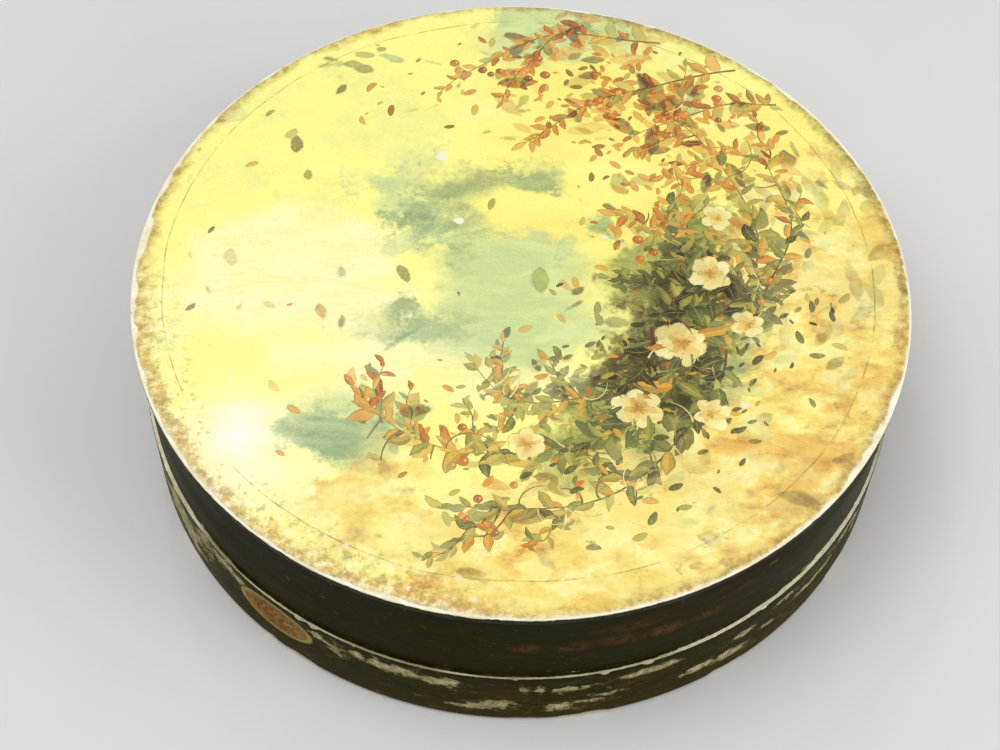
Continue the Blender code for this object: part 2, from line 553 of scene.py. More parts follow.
studio = {
    # name, place and size in metres, and power in watts of the lamps that aim at lampAim
    "lamps": (("keyLamp", (-0.40, -0.10, 1.25), 0.9, 6.2), ("fillLamp", (0.85, -0.40, 0.62), 0.7, 4.2)),
    "lampAim": (0, 0, 0.02),
    # the shine's place on the lid in box radii, and the way its lamp stands from there
    "shineFrom": (-0.671, -0.515), "shineToward": (-0.142, 0.549, 0.824), "shineAway": 0.9,
    "shineSize": 0.03, "shinePower": 0.2,
    # colour and strength of the sky that lights the box, and of the one that the camera sees
    "skies": (((1, 0.99, 0.97, 1), 0.55), ((0.86, 0.86, 0.85, 1), 1.0)),
    "floorSize": 6.0, "floorTones": ((0.70, 0.70, 0.69, 1), (0.73, 0.73, 0.72, 1)),
}


def areaLamp(name, place, aim, size, power):
    # a round lamp that faces what it aims at
    data = bpy.data.lights.new(name, "AREA")
    data.shape, data.size, data.energy = "DISK", size, power
    lamp = bpy.data.objects.new(name, data)
    lamp.location = place
    lamp.rotation_mode = "QUATERNION"
    lamp.rotation_quaternion = (Vector(aim) - Vector(place)).to_track_quat("-Z", "Y")
    bpy.context.scene.collection.objects.link(lamp)


def lightTheRoom(facts):
    # the lamps, and a sky that the camera sees paler and plainer than the box does
    for name, place, size, power in facts["lamps"]:
        areaLamp(name, place, facts["lampAim"], size, power)
    # a small lamp whose mirror image falls on the lid's left front, as a soft shine
    across, along = facts["shineFrom"]
    spot = Vector((across * boxRadius, along * boxRadius, sheetTop)) * millimetre
    toward = Vector(facts["shineToward"]).normalized()
    areaLamp("shineLamp", spot + toward * facts["shineAway"], spot, facts["shineSize"], facts["shinePower"])
    world = bpy.data.worlds.new("studio")
    world.use_nodes = True
    world.node_tree.nodes.clear()
    Signal.openTree = world.node_tree
    seen = larger(*addNode("ShaderNodeLightPath", {}, ("Is Camera Ray", "Is Transmission Ray")))
    soft, pale = (addNode("ShaderNodeBackground", {"Color": colour, "Strength": strength})
                  for colour, strength in facts["skies"])
    both = addNode("ShaderNodeMixShader", {0: seen, 1: soft, 2: pale})
    addNode("ShaderNodeOutputWorld", {"Surface": both}, ())
    bpy.context.scene.world = world


def layFloor(facts):
    # a wide pale floor, which isn't part of the box
    half = facts["floorSize"] / 2
    mesh = bpy.data.meshes.new("studio_floor")
    corners = [(-half, -half, 0), (half, -half, 0), (half, half, 0), (-half, half, 0)]
    mesh.from_pydata(corners, [], [(0, 1, 2, 3)])
    material, place = newFinish("floorPaint")
    first, second = facts["floorTones"]
    tone = laid(first, ease(speckle(place, 0.01), 0.3, 0.7), second)
    mesh.materials.append(fill(material, tone, 0.8))
    floor = bpy.data.objects.new("studio_floor", mesh)
    bpy.context.scene.collection.objects.link(floor)


placeCamera(cameraFacts)
lightTheRoom(studio)
layFloor(studio)
bpy.context.scene.view_settings.view_transform = "Standard"
print("camera, lamps and floor placed")


# Base

baseFacts = {
    "spokes": 1220,
    "wallSpacing": 0.38,
    "ledgeRounding": 0.3,
    "footRounding": 1.5,
    "paintDepth": 0.1,
    "ledgeBare": 0.5,  # width of the bare line along the ledge's outer edge
    # stretches where that line is wider and cleaner, and in part brighter as painted light where
    # the ledge is lit: angle, spread, extra width, cleanness
    "ledgeWorn": ((-158, 15, 1.5, 1.0), (-42, 24, 0.9, 1.3), (62, 20, 0.6, 0.7), (130, 26, 0.9, 0.9)),
    "ledgeChip": 0.2, "ledgeChipMore": 1.0,  # how far the bare edge reaches down the wall
    # flaked places: angle, level, half length in degrees, half height
    "patches": ((-105.5, 14.2, 5.2, 1.75), (-101.0, 13.6, 2.3, 1.6), (-115.6, 13.2, 2.3, 2.2),
                (-98.6, 14.2, 1.4, 1.5), (-112.2, 14.4, 1.6, 1.5), (-109.6, 14.9, 1.2, 1.6),
                (-118.9, 14.6, 1.2, 1.3), (-92.3, 7.2, 3.0, 2.0), (-94.5, 5.0, 3.6, 0.8),
                (-83.4, 5.4, 2.4, 1.7), (-88.3, 13.6, 0.8, 1.9), (-86.0, 13.4, 0.8, 2.0),
                (-82.3, 13.0, 2.8, 1.0), (-78.6, 6.8, 2.3, 1.0), (-76.0, 8.4, 2.4, 0.9),
                (-71.5, 14.2, 4.6, 1.05), (-67.2, 14.7, 2.2, 1.2), (-62.5, 7.0, 2.4, 1.3),
                (-56.5, 6.4, 3.6, 1.6), (-54.8, 11.8, 1.6, 1.2), (-50.5, 8.6, 1.4, 1.0),
                (-46.5, 14.4, 3.4, 1.2), (-40.0, 10.6, 4.6, 1.3), (-33.0, 13.8, 4.8, 1.4),
                (-27.5, 8.2, 2.4, 1.0), (-24.0, 11.5, 4.6, 1.5), (-15.0, 13.3, 5.0, 1.4),
                (-137.4, 15.4, 2.8, 2.2), (-141.5, 14.6, 2.8, 3.2), (-133.6, 14.6, 1.4, 1.8),
                (-151.0, 10.5, 9.5, 6.6), (-166.0, 13.0, 7.0, 3.4), (-145.5, 5.4, 3.4, 1.8)),
    "hiddenPatches": 34, "hiddenFrom": -5, "hiddenTo": 186,  # the side the photo doesn't show
    "paint": linear(42, 38, 9), "paintWarm": linear(62, 48, 10), "paintCool": linear(40, 44, 14),
    "paintLow": linear(58, 47, 12), "lowFrom": 9.0, "lowTo": 2.5,
    "shade": linear(24, 21, 5), "shadeFrom": 14.0, "shadeTo": 18.0, "shadeShare": 0.4,
    "rubbed": linear(96, 90, 50), "rubbedShare": 0.5,
    # the ledge's dull and clean grounds; the change between them round the ledge is in part painted light and
    # shade
    "ground": linear(190, 184, 138), "ledgeDullAndShaded": linear(164, 158, 124), "ledgeGround": linear(250, 246, 216),
    "seed": 5,
}


def flakedPlaces(facts):
    # the places read off the photo, and others drawn by chance for the side it doesn't show
    random = np.random.default_rng(facts["seed"])
    count = facts["hiddenPatches"]
    drawn = np.stack([random.uniform(facts["hiddenFrom"], facts["hiddenTo"], count),
                      random.choice([5.8, 7.2, 13.2, 14.6], count) + random.normal(0, 0.8, count),
                      random.uniform(0.7, 4.8, count), random.uniform(0.6, 1.5, count)], -1)
    return np.concatenate([np.array(facts["patches"]), drawn])


def ledgeWear(angle, column):
    # one number of the ledge's worn stretches, summed with each stretch's own spread
    return sum(worn[column] * hump(angleGap(angle, worn[0]), 0, worn[1]) for worn in baseFacts["ledgeWorn"])


def baseLoss(points):
    # How far the paint is past flaking; above zero it is gone. Each place counts as 1 at its
    # middle and 0 on its oval edge, clouds fray it, and upright cracks break it. The bare
    # ledge and the worn heel are added by their distance from those edges.
    facts = baseFacts
    angle, radius = polar(points)
    level = points[..., 2]
    fray = 1.7 * (cloud(points, (3.0, 3.0, 1.9), 5, 11) - 0.5)
    fray = fray + 1.3 * (cloud(points, (1.2, 1.2, 1.0), 3, 17) - 0.5)
    best = np.full(level.shape, -0.72)
    for middle, height, halfLength, halfHeight in flakedPlaces(facts):
        gap = np.hypot(angleGap(angle, middle) / halfLength, (level - height) / halfHeight)
        best = np.maximum(best, 1 - gap)
    cracks = smooth(cloud(points, (1.1, 1.1, 5), 3, 29), 0.72, 0.84)
    flaked = (best + fray - 0.06) * 1.5 - 0.9 * cracks
    below = ledgeLevel - level
    chipped = smooth(cloud(points, (2.6, 2.6, 9), 3, 41), 0.63, 0.86)
    reach = facts["ledgeChip"] + facts["ledgeChipMore"] * chipped
    width = facts["ledgeBare"] * (0.55 + 0.9 * cloud(points, (4, 4, 4), 4, 43) + ledgeWear(angle, 2))
    edge = np.minimum((reach - below) / 0.05, (width - (boardRadius - radius)) / 0.05)
    heel = (smooth(cloud(points, (7, 7, 7), 3, 47), 0.55, 0.72) * 0.9 - np.abs(level - 0.8)) / 0.35
    outside = radius > boxRadius - 1.8
    flaked = np.where(outside, np.maximum(flaked, heel), -2)
    return np.clip(np.maximum(flaked, edge), -2, 3)


def ledgeClean(points):
    # 1 on the bare ledge and its chips, 0 down the wall
    return smooth(ledgeLevel - points[..., 2], 1.6, 0.7)


def baseGround(points):
    # the bare ground's colour: dull along most of the ledge, from handling and in part as painted
    # shade; clean and bright where it is worn and, in part as painted light, where the ledge is
    # lit; and soiled down the wall
    facts = baseFacts
    handled = 1.6 * (cloud(points, (9, 9, 9), 3, 59) - 0.5)
    # the cleanness by angle is in part painted light: brighter where the ledge is lit, duller where it lies
    # in shade
    clean = np.clip(ledgeWear(polar(points)[0], 3) + handled, 0, 1)[..., None]
    ledge = facts["ledgeDullAndShaded"] * (1 - clean) + facts["ledgeGround"] * clean
    onLedge = ledgeClean(points)[..., None]
    return facts["ground"] * (1 - onLedge) + ledge * onLedge


def basePush(points):
    # paint stands proud of the losses, and the hoop wanders a little from a true round
    return (-baseFacts["paintDepth"] * smooth(baseLoss(points), -0.3, 0.3)
            - 0.05 * cloud(points, (40, 40, 12), 3, 53))


ovalFacts = {
    "angle": -126.4, "level": 11.6,  # where the small oval picture sits on the wall
    "halfLength": 8.9, "halfHeight": 4.7,
    "ground": linear(132, 110, 56), "middle": linear(116, 64, 26), "line": linear(164, 150, 82),
}


def ovalInside(points):
    # 1 at the oval's middle, 0 on its edge and below 0 outside: 1 less the distance round and
    # up the wall, counted in the oval's half sizes
    facts = ovalFacts
    turn = (polar(points)[0] - facts["angle"] + 180) % 360 - 180
    across = np.radians(turn) * boxRadius / facts["halfLength"]
    upward = (points[..., 2] - facts["level"]) / facts["halfHeight"]
    return np.clip(1 - np.hypot(across, upward), -1, 1)


def paintOval(place, tone):
    # the oval's ochre ground, with a browner, clouded middle and a fine darker line round it
    facts = ovalFacts
    inside = field("oval")
    frayed = inside + swing(place, 1.6, 0.10, 5)
    clouded = inside + swing(place, 0.35, 1.6, 5)
    ground = layers(facts["ground"], (ease(clouded, 0.05, 0.55), facts["middle"]),
                    (ease(speckle(place, 0.8, 6), 0.5, 0.70, 0, 0.55), facts["line"]))
    return layers(tone, (ease(frayed, -0.10, -0.03, 0, 0.85), facts["line"]),
                  (ease(frayed, 0.03, 0.10), ground))


def sideFinish(name, facts, rust=False, oval=False):
    # dark varnished paint over a pale ground, with its losses taken from the piece's fields
    material, place = newFinish(name)
    along = stretch(place, (0.12, 0.12, 0.6))
    wander = speckle(along, 0.7, 6, 0.6)
    uneven = apart(place, 2) + (wander - 0.5) * 9.0
    scuff = speckle(stretch(place, (0.14, 0.14, 0.5)), 1.6, 7, 0.7)
    tone = layers(
        facts["paintCool"], (ease(wander, 0.36, 0.54), facts["paint"]),
        (ease(wander, 0.52, 0.70), facts["paintWarm"]),
        (ease(uneven, facts["lowFrom"], facts["lowTo"], 0, 0.7), facts["paintLow"]),
        (ease(uneven, facts["shadeFrom"], facts["shadeTo"], 0, facts["shadeShare"]), facts["shade"]),
        (ease(scuff, 0.54, 0.72, 0, facts["rubbedShare"]), facts["rubbed"]))
    if rust:
        tone = laid(tone, field("rust") * ease(speckle(place, 0.5, 6, 0.65), 0.34, 0.6), facts["rustColour"])
    if oval:
        tone = paintOval(place, tone)
    paint, roughness, brushed = brushedPaint(along, tone, 0.7, 0.6, 0.5)
    dirt = ease(field("clean"), 0.0, 1.0, 0.85, 0.25)
    colour, lost, relief = lostPaint(place, paint, field("ground", "Color"), field("lost"), 2.2, dirt)
    height = brushed * 0.3 + relief
    return fill(material, colour, roughness + lost * 0.25, height, 0.3, 0.00012, specular=0.015)


def makeBaseWall():
    # the dark bent wall of the base, with its worn ledge and the oval
    facts = baseFacts
    wall = neckOuter + fitGap
    corners = [(wall, ledgeLevel, 0, 0.3),
               (boxRadius, ledgeLevel, facts["ledgeRounding"], facts["wallSpacing"]),
               (boxRadius, footLevel, facts["footRounding"], 0.8),
               (wall, footLevel, 0.2, 4.0)]
    fields = {"lost": baseLoss, "clean": ledgeClean, "ground": baseGround, "oval": ovalInside}
    turnedRing("base_wall", corners, facts["spokes"], basePush, fields,
               sideFinish("darkBasePaint", facts, oval=True), "base", "dark_side", ["base_hoop"])


makeBaseWall()


# Lid skirt

skirtFacts = {
    "spokes": 1320,
    "wallSpacing": 0.5,
    "gapBelow": 0.07,  # between the skirt's foot and the ledge
    "footRounding": 0.35,
    # rubbed spots: angle, level, half length in degrees, half height, strength
    "scuffs": ((-102.2, 33.4, 0.9, 0.7, 0.5), (-96.3, 34.2, 1.3, 0.8, 0.28), (-93.9, 32.4, 1.5, 0.7, 0.2),
               (-51.6, 34.8, 1.6, 1.1, 0.4), (-53.6, 33.2, 0.8, 0.9, 0.22), (-58.0, 30.6, 1.0, 1.2, 0.14),
               (-28.0, 33.0, 1.5, 0.8, 0.3), (31.0, 29.5, 1.8, 0.9, 0.4), (74.0, 34.5, 1.2, 0.8, 0.35),
               (118.0, 27.0, 2.0, 0.8, 0.4), (161.0, 33.5, 1.4, 1.0, 0.35), (206.0, 31.0, 1.0, 0.8, 0.25)),
    # faint red-brown blotches: angle, level, half length in degrees, half height, strength
    "blotches": ((-88.1, 29.3, 3.0, 1.7, 0.75), (-81.5, 29.0, 3.2, 1.9, 0.55), (-75.5, 29.4, 3.4, 2.2, 0.6),
                 (-69.0, 28.6, 3.8, 2.3, 0.7), (-62.0, 28.4, 3.2, 1.7, 0.6), (-74.0, 33.6, 5.5, 2.4, 0.28),
                 (-56.5, 32.0, 3.0, 1.6, 0.22), (44.0, 29.0, 4.5, 2.0, 0.5), (52.5, 29.6, 3.0, 1.6, 0.45),
                 (139.0, 30.0, 3.6, 2.0, 0.5), (147.0, 29.0, 3.0, 1.6, 0.4)),
    "paint": linear(36, 32, 5), "paintWarm": linear(46, 36, 5), "paintCool": linear(34, 34, 9),
    "paintLow": linear(32, 28, 4), "lowFrom": 23.0, "lowTo": 18.0,
    "shade": linear(26, 23, 4), "shadeFrom": 36.5, "shadeTo": 40.0, "shadeShare": 0.6,
    "rubbed": linear(56, 48, 24), "rubbedShare": 0.25,
    "rustColour": linear(98, 62, 32),
    "ground": linear(150, 144, 112), "ledgeGround": linear(196, 188, 150),
}


def spots(points, places):
    # soft oval spots, the strongest one counting at each point
    angle = polar(points)[0]
    best = np.zeros(angle.shape)
    for middle, height, halfLength, halfHeight, strength in places:
        gap = np.hypot(angleGap(angle, middle) / halfLength, (points[..., 2] - height) / halfHeight)
        best = np.maximum(best, strength * smooth(gap, 1.25, 0.2))
    return best


def skirtLoss(points):
    # small chips along the foot, and the middles of the rubbed spots
    above = points[..., 2] - skirtLow
    radius = polar(points)[1]
    chips = 0.1 + 0.8 * smooth(cloud(points, (3, 3, 9), 3, 61), 0.68, 0.86)
    rubbed = spots(points, skirtFacts["scuffs"]) + 0.9 * (cloud(points, (1.3, 1.3, 0.8), 4, 67) - 0.5)
    lost = np.maximum((chips - above) / 0.25 - 0.2, (rubbed - 0.50) * 2.5)
    return np.clip(np.where(radius > skirtOuter - 0.8, lost, -2), -2, 2)


def skirtClean(points):
    # 1 along the skirt's foot, 0 up its wall
    return smooth(points[..., 2] - skirtLow, 1.2, 0.5)


def skirtGround(points):
    # the bare ground's colour, cleaner along the foot
    facts = skirtFacts
    return facts["ground"] + skirtClean(points)[..., None] * (facts["ledgeGround"] - facts["ground"])


def skirtPush(points):
    # paint stands proud of the losses, and the hoop wanders a little
    return -0.06 * smooth(skirtLoss(points), -0.3, 0.3) - 0.04 * cloud(points, (34, 34, 15), 3, 71)


def makeSkirt():
    # the lid's dark bent wall, which stands on the ledge
    facts = skirtFacts
    wall, low, high = skirtPaperOuter + fitGap, ledgeLevel + facts["gapBelow"], boardLow - glueGap
    corners = [(wall, high, 0, 1.0), (skirtOuter, high, 0, facts["wallSpacing"]),
               (skirtOuter, low, facts["footRounding"], 0.5), (wall, low, 0.2, 3.0)]
    fields = {"lost": skirtLoss, "clean": skirtClean, "ground": skirtGround,
              "rust": lambda points: spots(points, facts["blotches"])}
    turnedRing("skirt_wall", corners, facts["spokes"], skirtPush, fields,
               sideFinish("darkSkirtPaint", facts, rust=True), "lid", "dark_side", ["lid_skirt"])


makeSkirt()


# Lid board

boardFacts = {
    "spokes": 960,
    "rounding": 0.35, "hubRadius": 12,
    "paintedBelow": 0.36,  # the side's dark paint comes up the board's edge to this depth
    "sink": 0.15,  # the sheet lies this much lower than the solid's, so that strokes stay in its box
    "raise": 0.28,  # and the board's face this much higher, so that the sheet's edge is a low step
    "dent": 0.16,
    "cream": linear(248, 245, 220), "shade": linear(232, 218, 168), "dirt": linear(150, 120, 76),
    "fleck": linear(110, 80, 48),
}
boardFace = boardTop + boardFacts["raise"]
sheetFace = sheetTop - boardFacts["sink"]


def boardPush(points):
    # shallow dents and nicks round the edge
    radius = polar(points)[1]
    nicks = smooth(cloud(points, (1.6, 1.6, 1.2), 3, 79), 0.66, 0.86)
    soft = cloud(points, (9, 9, 4), 3, 83)
    return -boardFacts["dent"] * (nicks + 0.5 * soft) * smooth(radius, boardRadius - 3, boardRadius - 0.6)


def boardFinish():
    # chalky cream ground along the worn edge, soiled in patches, with dark nicks
    facts = boardFacts
    material, place = newFinish("creamBoardEdge")
    soil = speckle(place, 0.22, 6, 0.62)
    grime = speckle(stretch(place, (0.5, 0.5, 2.4)), 0.9, 6, 0.7)
    fine = speckle(place, 3.2, 4)
    depth = boardFace + 0.8 - (apart(place, 2) + (grime * 0.9 + soil * 0.7))
    painted = ease(depth, facts["paintedBelow"] - 0.06, facts["paintedBelow"] + 0.06)
    tone = layers(facts["cream"], (ease(soil, 0.40, 0.68, 0, 0.8), facts["shade"]),
                  (ease(grime, 0.58, 0.74, 0, 0.6), facts["dirt"]),
                  (ease(fine, 0.66, 0.74, 0, 0.35), facts["fleck"]), (painted, skirtFacts["paint"]))
    return fill(material, tone, ease(soil, 0.3, 0.7, 0.42, 0.62), fine - ease(grime, 0.5, 0.8), 0.35, 0.00015,
                specular=0.1)


def makeBoard():
    # the lid's round board, whose worn edge stands out over the skirt
    facts = boardFacts
    hub, low = facts["hubRadius"], boardLow - glueGap
    corners = [(hub, boardFace, 0, 6.0), (sheetRadius - 5, boardFace, 0, 0.4),
               (boardRadius, boardFace, facts["rounding"], 0.35), (boardRadius, low, 0.35, 6.0),
               (hub, low, 0, 6.0)]
    turnedDisc("lid_top_board", corners, facts["spokes"], boardPush, boardFinish(), "lid", "pale_edge",
               ["lid_board"])


makeBoard()


# Lid picture: a garland of autumn leaves, berries and pale roses over loose washes

pictureFacts = {
    "sun": linear(254, 250, 146),
    # each pigment's two tones, which run into each other
    "pigments": {
        "gold": (linear(251, 237, 118), linear(248, 224, 102)),
        "pale": (linear(251, 251, 200), linear(247, 248, 180)),
        "mist": (linear(212, 226, 160), linear(186, 208, 150)),
        "pool": (linear(156, 182, 134), linear(118, 148, 112)),
        "ochre": (linear(248, 222, 122), linear(238, 196, 94)),
        "amber": (linear(228, 160, 70), linear(188, 112, 52)),
        "straw": (linear(250, 242, 160), linear(248, 230, 130)),
        "moss": (linear(172, 180, 92), linear(126, 136, 70)),
        "olive": (linear(92, 90, 50), linear(58, 56, 32)),
        "umber": (linear(112, 80, 46), linear(74, 52, 30)),
    },
    "garlandRadius": 0.47, "garlandAngle": -28.0,  # the garland's ring and its heaviest place
    "warp": 0.14, "seed": 300,
    # washes in the order they are laid: pigment, strength, softness of the edge, how dark it
    # dries there, how ragged it is
    "washes": (("gold", 0.6, 0.16, 0.0, 0.3), ("pale", 0.85, 0.14, 0.0, 0.4),
               ("mist", 0.85, 0.12, 0.04, 0.8), ("pool", 0.75, 0.10, 0.06, 1.0),
               ("ochre", 0.85, 0.10, 0.06, 1.0), ("amber", 0.75, 0.07, 0.10, 1.1),
               ("straw", 0.8, 0.06, 0.06, 1.0), ("moss", 0.85, 0.11, 0.06, 1.0),
               ("olive", 0.9, 0.09, 0.1, 1.1), ("umber", 0.85, 0.08, 0.1, 1.2)),
    "mottled": ("olive", "umber", "moss"),  # the washes whose pigment is mottled, not streaked
    # where each wash lies: its cloud's size across and along, octaves and draw, the gathering it
    # follows, its weight, what is taken off, and the weight and offset of its limit
    "washPlaces": {
        "gold": (60, 34, 4, 13, "left", 0.18, 0.66), "pale": (50, 26, 4, 17, "pale", 0.34, 0.66),
        "mist": (36, 20, 5, 23, "cool", 0.44, 0.70, 1.0, 0.08),
        "pool": (24, 14, 5, 61, "cool", 0.36, 0.80, 0.8, 0.2),
        "ochre": (32, 18, 5, 71, "warm", 0.42, 0.78, 0.8, 0.2),
        "amber": (22, 11, 5, 83, "warm", 0.38, 0.86, 0.8, 0.25),
        "straw": (26, 13, 5, 97, "warm", 0.20, 0.70, 0.5, 0.15),
        "moss": (22, 16, 5, 101, "body", 0.52, 0.74, 0.9, 0.2),
        "olive": (13, 10, 5, 113, "core", 0.56, 0.76, 0.9, 0.2),
        "umber": (9, 8, 5, 127, "core", 0.40, 0.78, 0.9, 0.2),
    },
    # loose dabs over them: name, size in millimetres, slimness, share of places that hold one,
    # seed, their cloud's size, the gathering they follow with its weight and level, pigments
    "dabs": (("coolDab", 15, 0.34, 0.5, 31, 24, "cool", 0.40, 0.68, ("mist", "pool")),
             ("darkDab", 8.5, 0.40, 0.8, 131, 12, "body", 0.5, 0.62, ("olive", "pool", "moss", "umber")),
             ("smallDarkDab", 5.5, 0.42, 0.7, 149, 12, "body", 0.5, 0.62,
              ("moss", "olive", "umber", "ochre")),
             ("warmDab", 7.4, 0.36, 0.6, 163, 10, "thrown", 0.32, 0.66, ("amber", "ochre", "umber")),
             ("smallWarmDab", 4.6, 0.40, 0.6, 179, 10, "thrown", 0.32, 0.66, ("ochre", "amber", "umber"))),
    # how far a dab may stray from its cell's middle in cells, how far it may turn in radians, and
    # half its length in cells
    "dabChances": (0.8, 2.2, 0.66),
    "driedRim": linear(70, 60, 30), "smudge": linear(146, 112, 66),
    # colour stops of the autumn clouds and of the massed foliage
    "clouds": ((0.31, linear(176, 142, 84)), (0.38, linear(226, 178, 100)), (0.45, linear(247, 212, 112)),
               (0.51, linear(251, 236, 138)), (0.57, linear(252, 249, 176)), (0.64, linear(240, 238, 150)),
               (0.70, linear(206, 216, 136))),
    "massed": ((0.36, linear(44, 42, 24)), (0.44, linear(72, 72, 40)), (0.52, linear(106, 108, 60)),
               (0.59, linear(154, 150, 82)), (0.68, linear(214, 200, 116))),
    # small leaf dabs: fineness along X, Y and Z, turn, dark and light tone, strength
    "leafCells": (((0.36, 0.76, 1), 0.5, linear(50, 50, 28), linear(156, 150, 74), 0.6),
                  ((0.62, 0.34, 1), -0.4, linear(78, 92, 70), linear(196, 146, 58), 0.45)),
}


def dabField(place, size, slim, heading, share, seed):
    # One lens-shaped brush dab for each cell of a square net, moved and turned by the cell's
    # own numbers: its field is 1 - along squared - |across|, above zero inside. heading gives
    # a dab's direction from its middle. Gives the highest field at each point and its dab's
    # number from 0 to 1.
    stray, swerve, reach = pictureFacts["dabChances"]
    cell = np.floor(place / size).astype(np.int64)
    best = np.full(len(place), -1.0)
    number = np.zeros(len(place))
    for step in [(x, y) for x in (-1, 0, 1) for y in (-1, 0, 1)]:
        home = cell + np.array(step)
        key = [home[:, 0], home[:, 1], np.zeros(len(home), np.int64)]
        draws = [cellNumbers(key, seed + k) for k in range(5)]
        middle = (home + 0.5 + stray * (np.stack(draws[:2], -1) - 0.5)) * size
        turn = heading(middle) + swerve * (draws[2] - 0.5)
        gap = (place - middle) / (reach * size)
        along = gap[:, 0] * np.cos(turn) + gap[:, 1] * np.sin(turn)
        across = (gap[:, 1] * np.cos(turn) - gap[:, 0] * np.sin(turn)) / slim
        here = np.where(draws[3] < share, 1 - along ** 2 - np.abs(across), -1)
        nearer = here > best
        best = np.where(nearer, here, best)
        number = np.where(nearer, draws[4], number)
    return np.clip(best, -1, 1), number


def washFields(place):
    # For each wash a cloud of numbers that rises above zero where the wash lies; for each set
    # of dabs their field, sunk below zero where none belong, and their numbers. place is in
    # millimetres.
    facts = pictureFacts
    flat = raised(place)

    def drift(size, octaves, draw):
        # a cloud over the lid, from 0 to 1
        return cloud(flat, size, octaves, facts["seed"] + draw)

    bend = np.stack([drift(26, 4, 1), drift(26, 4, 7)], -1) - 0.5
    x, y = (place / sheetRadius + 2 * facts["warp"] * bend).T
    angle, radius = np.degrees(np.arctan2(y, x)), np.hypot(x, y)
    gap = angleGap(angle, facts["garlandAngle"])

    def near(middleX, middleY, spread):
        # a bell round a place on the lid, in its radii
        return hump(np.hypot(x - middleX, y - middleY), 0, spread)

    # where each kind of colour gathers: the pale open side away from the garland, the cool
    # hollow that it bends round, its warm outer side, its shadow and its core, and the autumn
    # colour thrown from its arms
    warm = hump(radius, 0.86, 0.26) * smooth(angleGap(angle, -48), 98, 45)
    body = (hump(radius, facts["garlandRadius"], 0.21) * hump(gap, 0, 66)
            + 0.42 * hump(radius, 0.86, 0.13) * hump(angleGap(angle, 0), 0, 26))
    thrown = (0.9 * hump(radius, 0.62, 0.18) * smooth(gap, 20, 60) * smooth(gap, 130, 100)
              + 0.95 * hump(radius, 0.74, 0.24) * hump(angleGap(angle, 64), 0, 30)
              + 0.5 * np.clip(warm, 0, 1))
    gathers = {
        "left": x, "warm": warm, "body": body, "thrown": thrown,
        "pale": near(-0.62, -0.12, 0.42) + 0.6 * near(-0.15, 0.60, 0.26),
        "cool": near(-0.04, 0.02, 0.30) + 0.85 * near(-0.44, -0.52, 0.22) + 0.7 * near(0.08, 0.86, 0.20),
        "core": hump(radius, facts["garlandRadius"] - 0.03, 0.18) * hump(gap, 0, 42),
    }
    fields = {}
    for name, (wide, tall, octaves, draw, follows, weight, sink, *limit) in facts["washPlaces"].items():
        fields[name] = drift((wide, tall, 9), octaves, draw) + weight * gathers[follows] - sink
        if limit:
            fields[name] = np.minimum(fields[name], limit[0] * gathers[follows] - limit[1])

    def rising(middle):
        # upwards to the right, more steeply further right
        return 0.7 + 0.5 * middle[:, 0] / sheetRadius

    def about(middle):
        # the way round the lid's middle
        return np.arctan2(middle[:, 1], middle[:, 0]) + np.pi / 2

    for name, size, slim, share, draw, wide, follows, weight, level, _ in facts["dabs"]:
        heading = rising if name == "coolDab" else about
        best, number = dabField(place, size, slim, heading, share, facts["seed"] + draw)
        gathered = smooth(drift(wide, 3, draw) + weight * gathers[follows], level, 0.84)
        fields[name] = best - 1.2 * (1 - gathered)
        fields[name + "Number"] = number
    fields["foliage"] = body
    fields["autumn"] = np.clip(1.15 * warm + 0.35 * near(-0.25, -0.72, 0.26), 0, 1)
    return fields


def lidWash(place):
    # the washes' colour at each point of the lid, as the strokes over them need it
    facts = pictureFacts
    fields = washFields(place)
    colour = np.tile(facts["sun"], (len(place), 1))

    def lay(pigment, share):
        # the colour with a pigment over it
        return colour * (1 - share[:, None]) + pigment * share[:, None]

    for name, strength, soft, *_ in facts["washes"]:
        colour = lay(facts["pigments"][name][0], strength * smooth(fields[name], -soft, soft))
    for name, *_, pigments in facts["dabs"]:
        number = fields[name + "Number"]
        chosen = np.minimum((number * len(pigments)).astype(int), len(pigments) - 1)
        tone = np.array([facts["pigments"][pigment][0] for pigment in pigments])[chosen]
        colour = lay(tone, (0.4 + 0.4 * number) * smooth(fields[name], 0.0, 0.3))
    return colour


# Lid picture: the sheet that it is painted on

sheetFacts = {
    "cells": 294,  # squares along one side of the net, which is bent round into a disc
    "thickness": 0.45,
    "edgeDrop": 0.36, "edgeWidth": 0.9,  # the edge rolls down into the board's face
    "overBoard": 0.62,  # the sheet reaches this far past the solid's, almost to the board's edge
    "chipDepth": 0.35,
    # worn stretches of the rim: angle, spread, extra depth in millimetres
    "wornRim": ((178, 22, 1.0), (-148, 12, 0.5), (-30, 9, 1.1), (38, 16, 0.4), (-104, 12, 0.25)),
    # spots of bare ground on the face: x and y in lid radii, radius in millimetres
    "bareSpots": ((-0.225, 0.405, 1.5), (-0.17, 0.175, 1.2), (0.035, -0.805, 0.9), (0.32, 0.61, 0.7),
                  (-0.62, -0.12, 0.6), (0.50, -0.36, 1.0), (0.56, -0.40, 0.8), (-0.40, 0.02, 0.5),
                  (-0.72, -0.36, 0.5), (0.22, 0.13, 0.6), (0.71, 0.20, 0.7), (-0.46, -0.62, 0.6)),
    "circleMiddle": (-0.6, 1.0), "circleRadius": 73.2, "circleWidth": 0.13, "circle": linear(98, 88, 50),
    "bare": linear(242, 238, 216), "edge": linear(238, 232, 204),
    "pepper": linear(120, 104, 52), "scratch": linear(250, 246, 200),
    # stain colours; the whitish bloom is rubbed varnish and in part a painted sheen
    "stain": {"dark": linear(168, 132, 62), "light": linear(216, 178, 98), "brown": linear(132, 104, 50),
              "olive": linear(120, 106, 50), "peach": linear(212, 164, 104), "mould": linear(138, 144, 90),
              "bloomAndSheen": linear(246, 244, 214)},
}


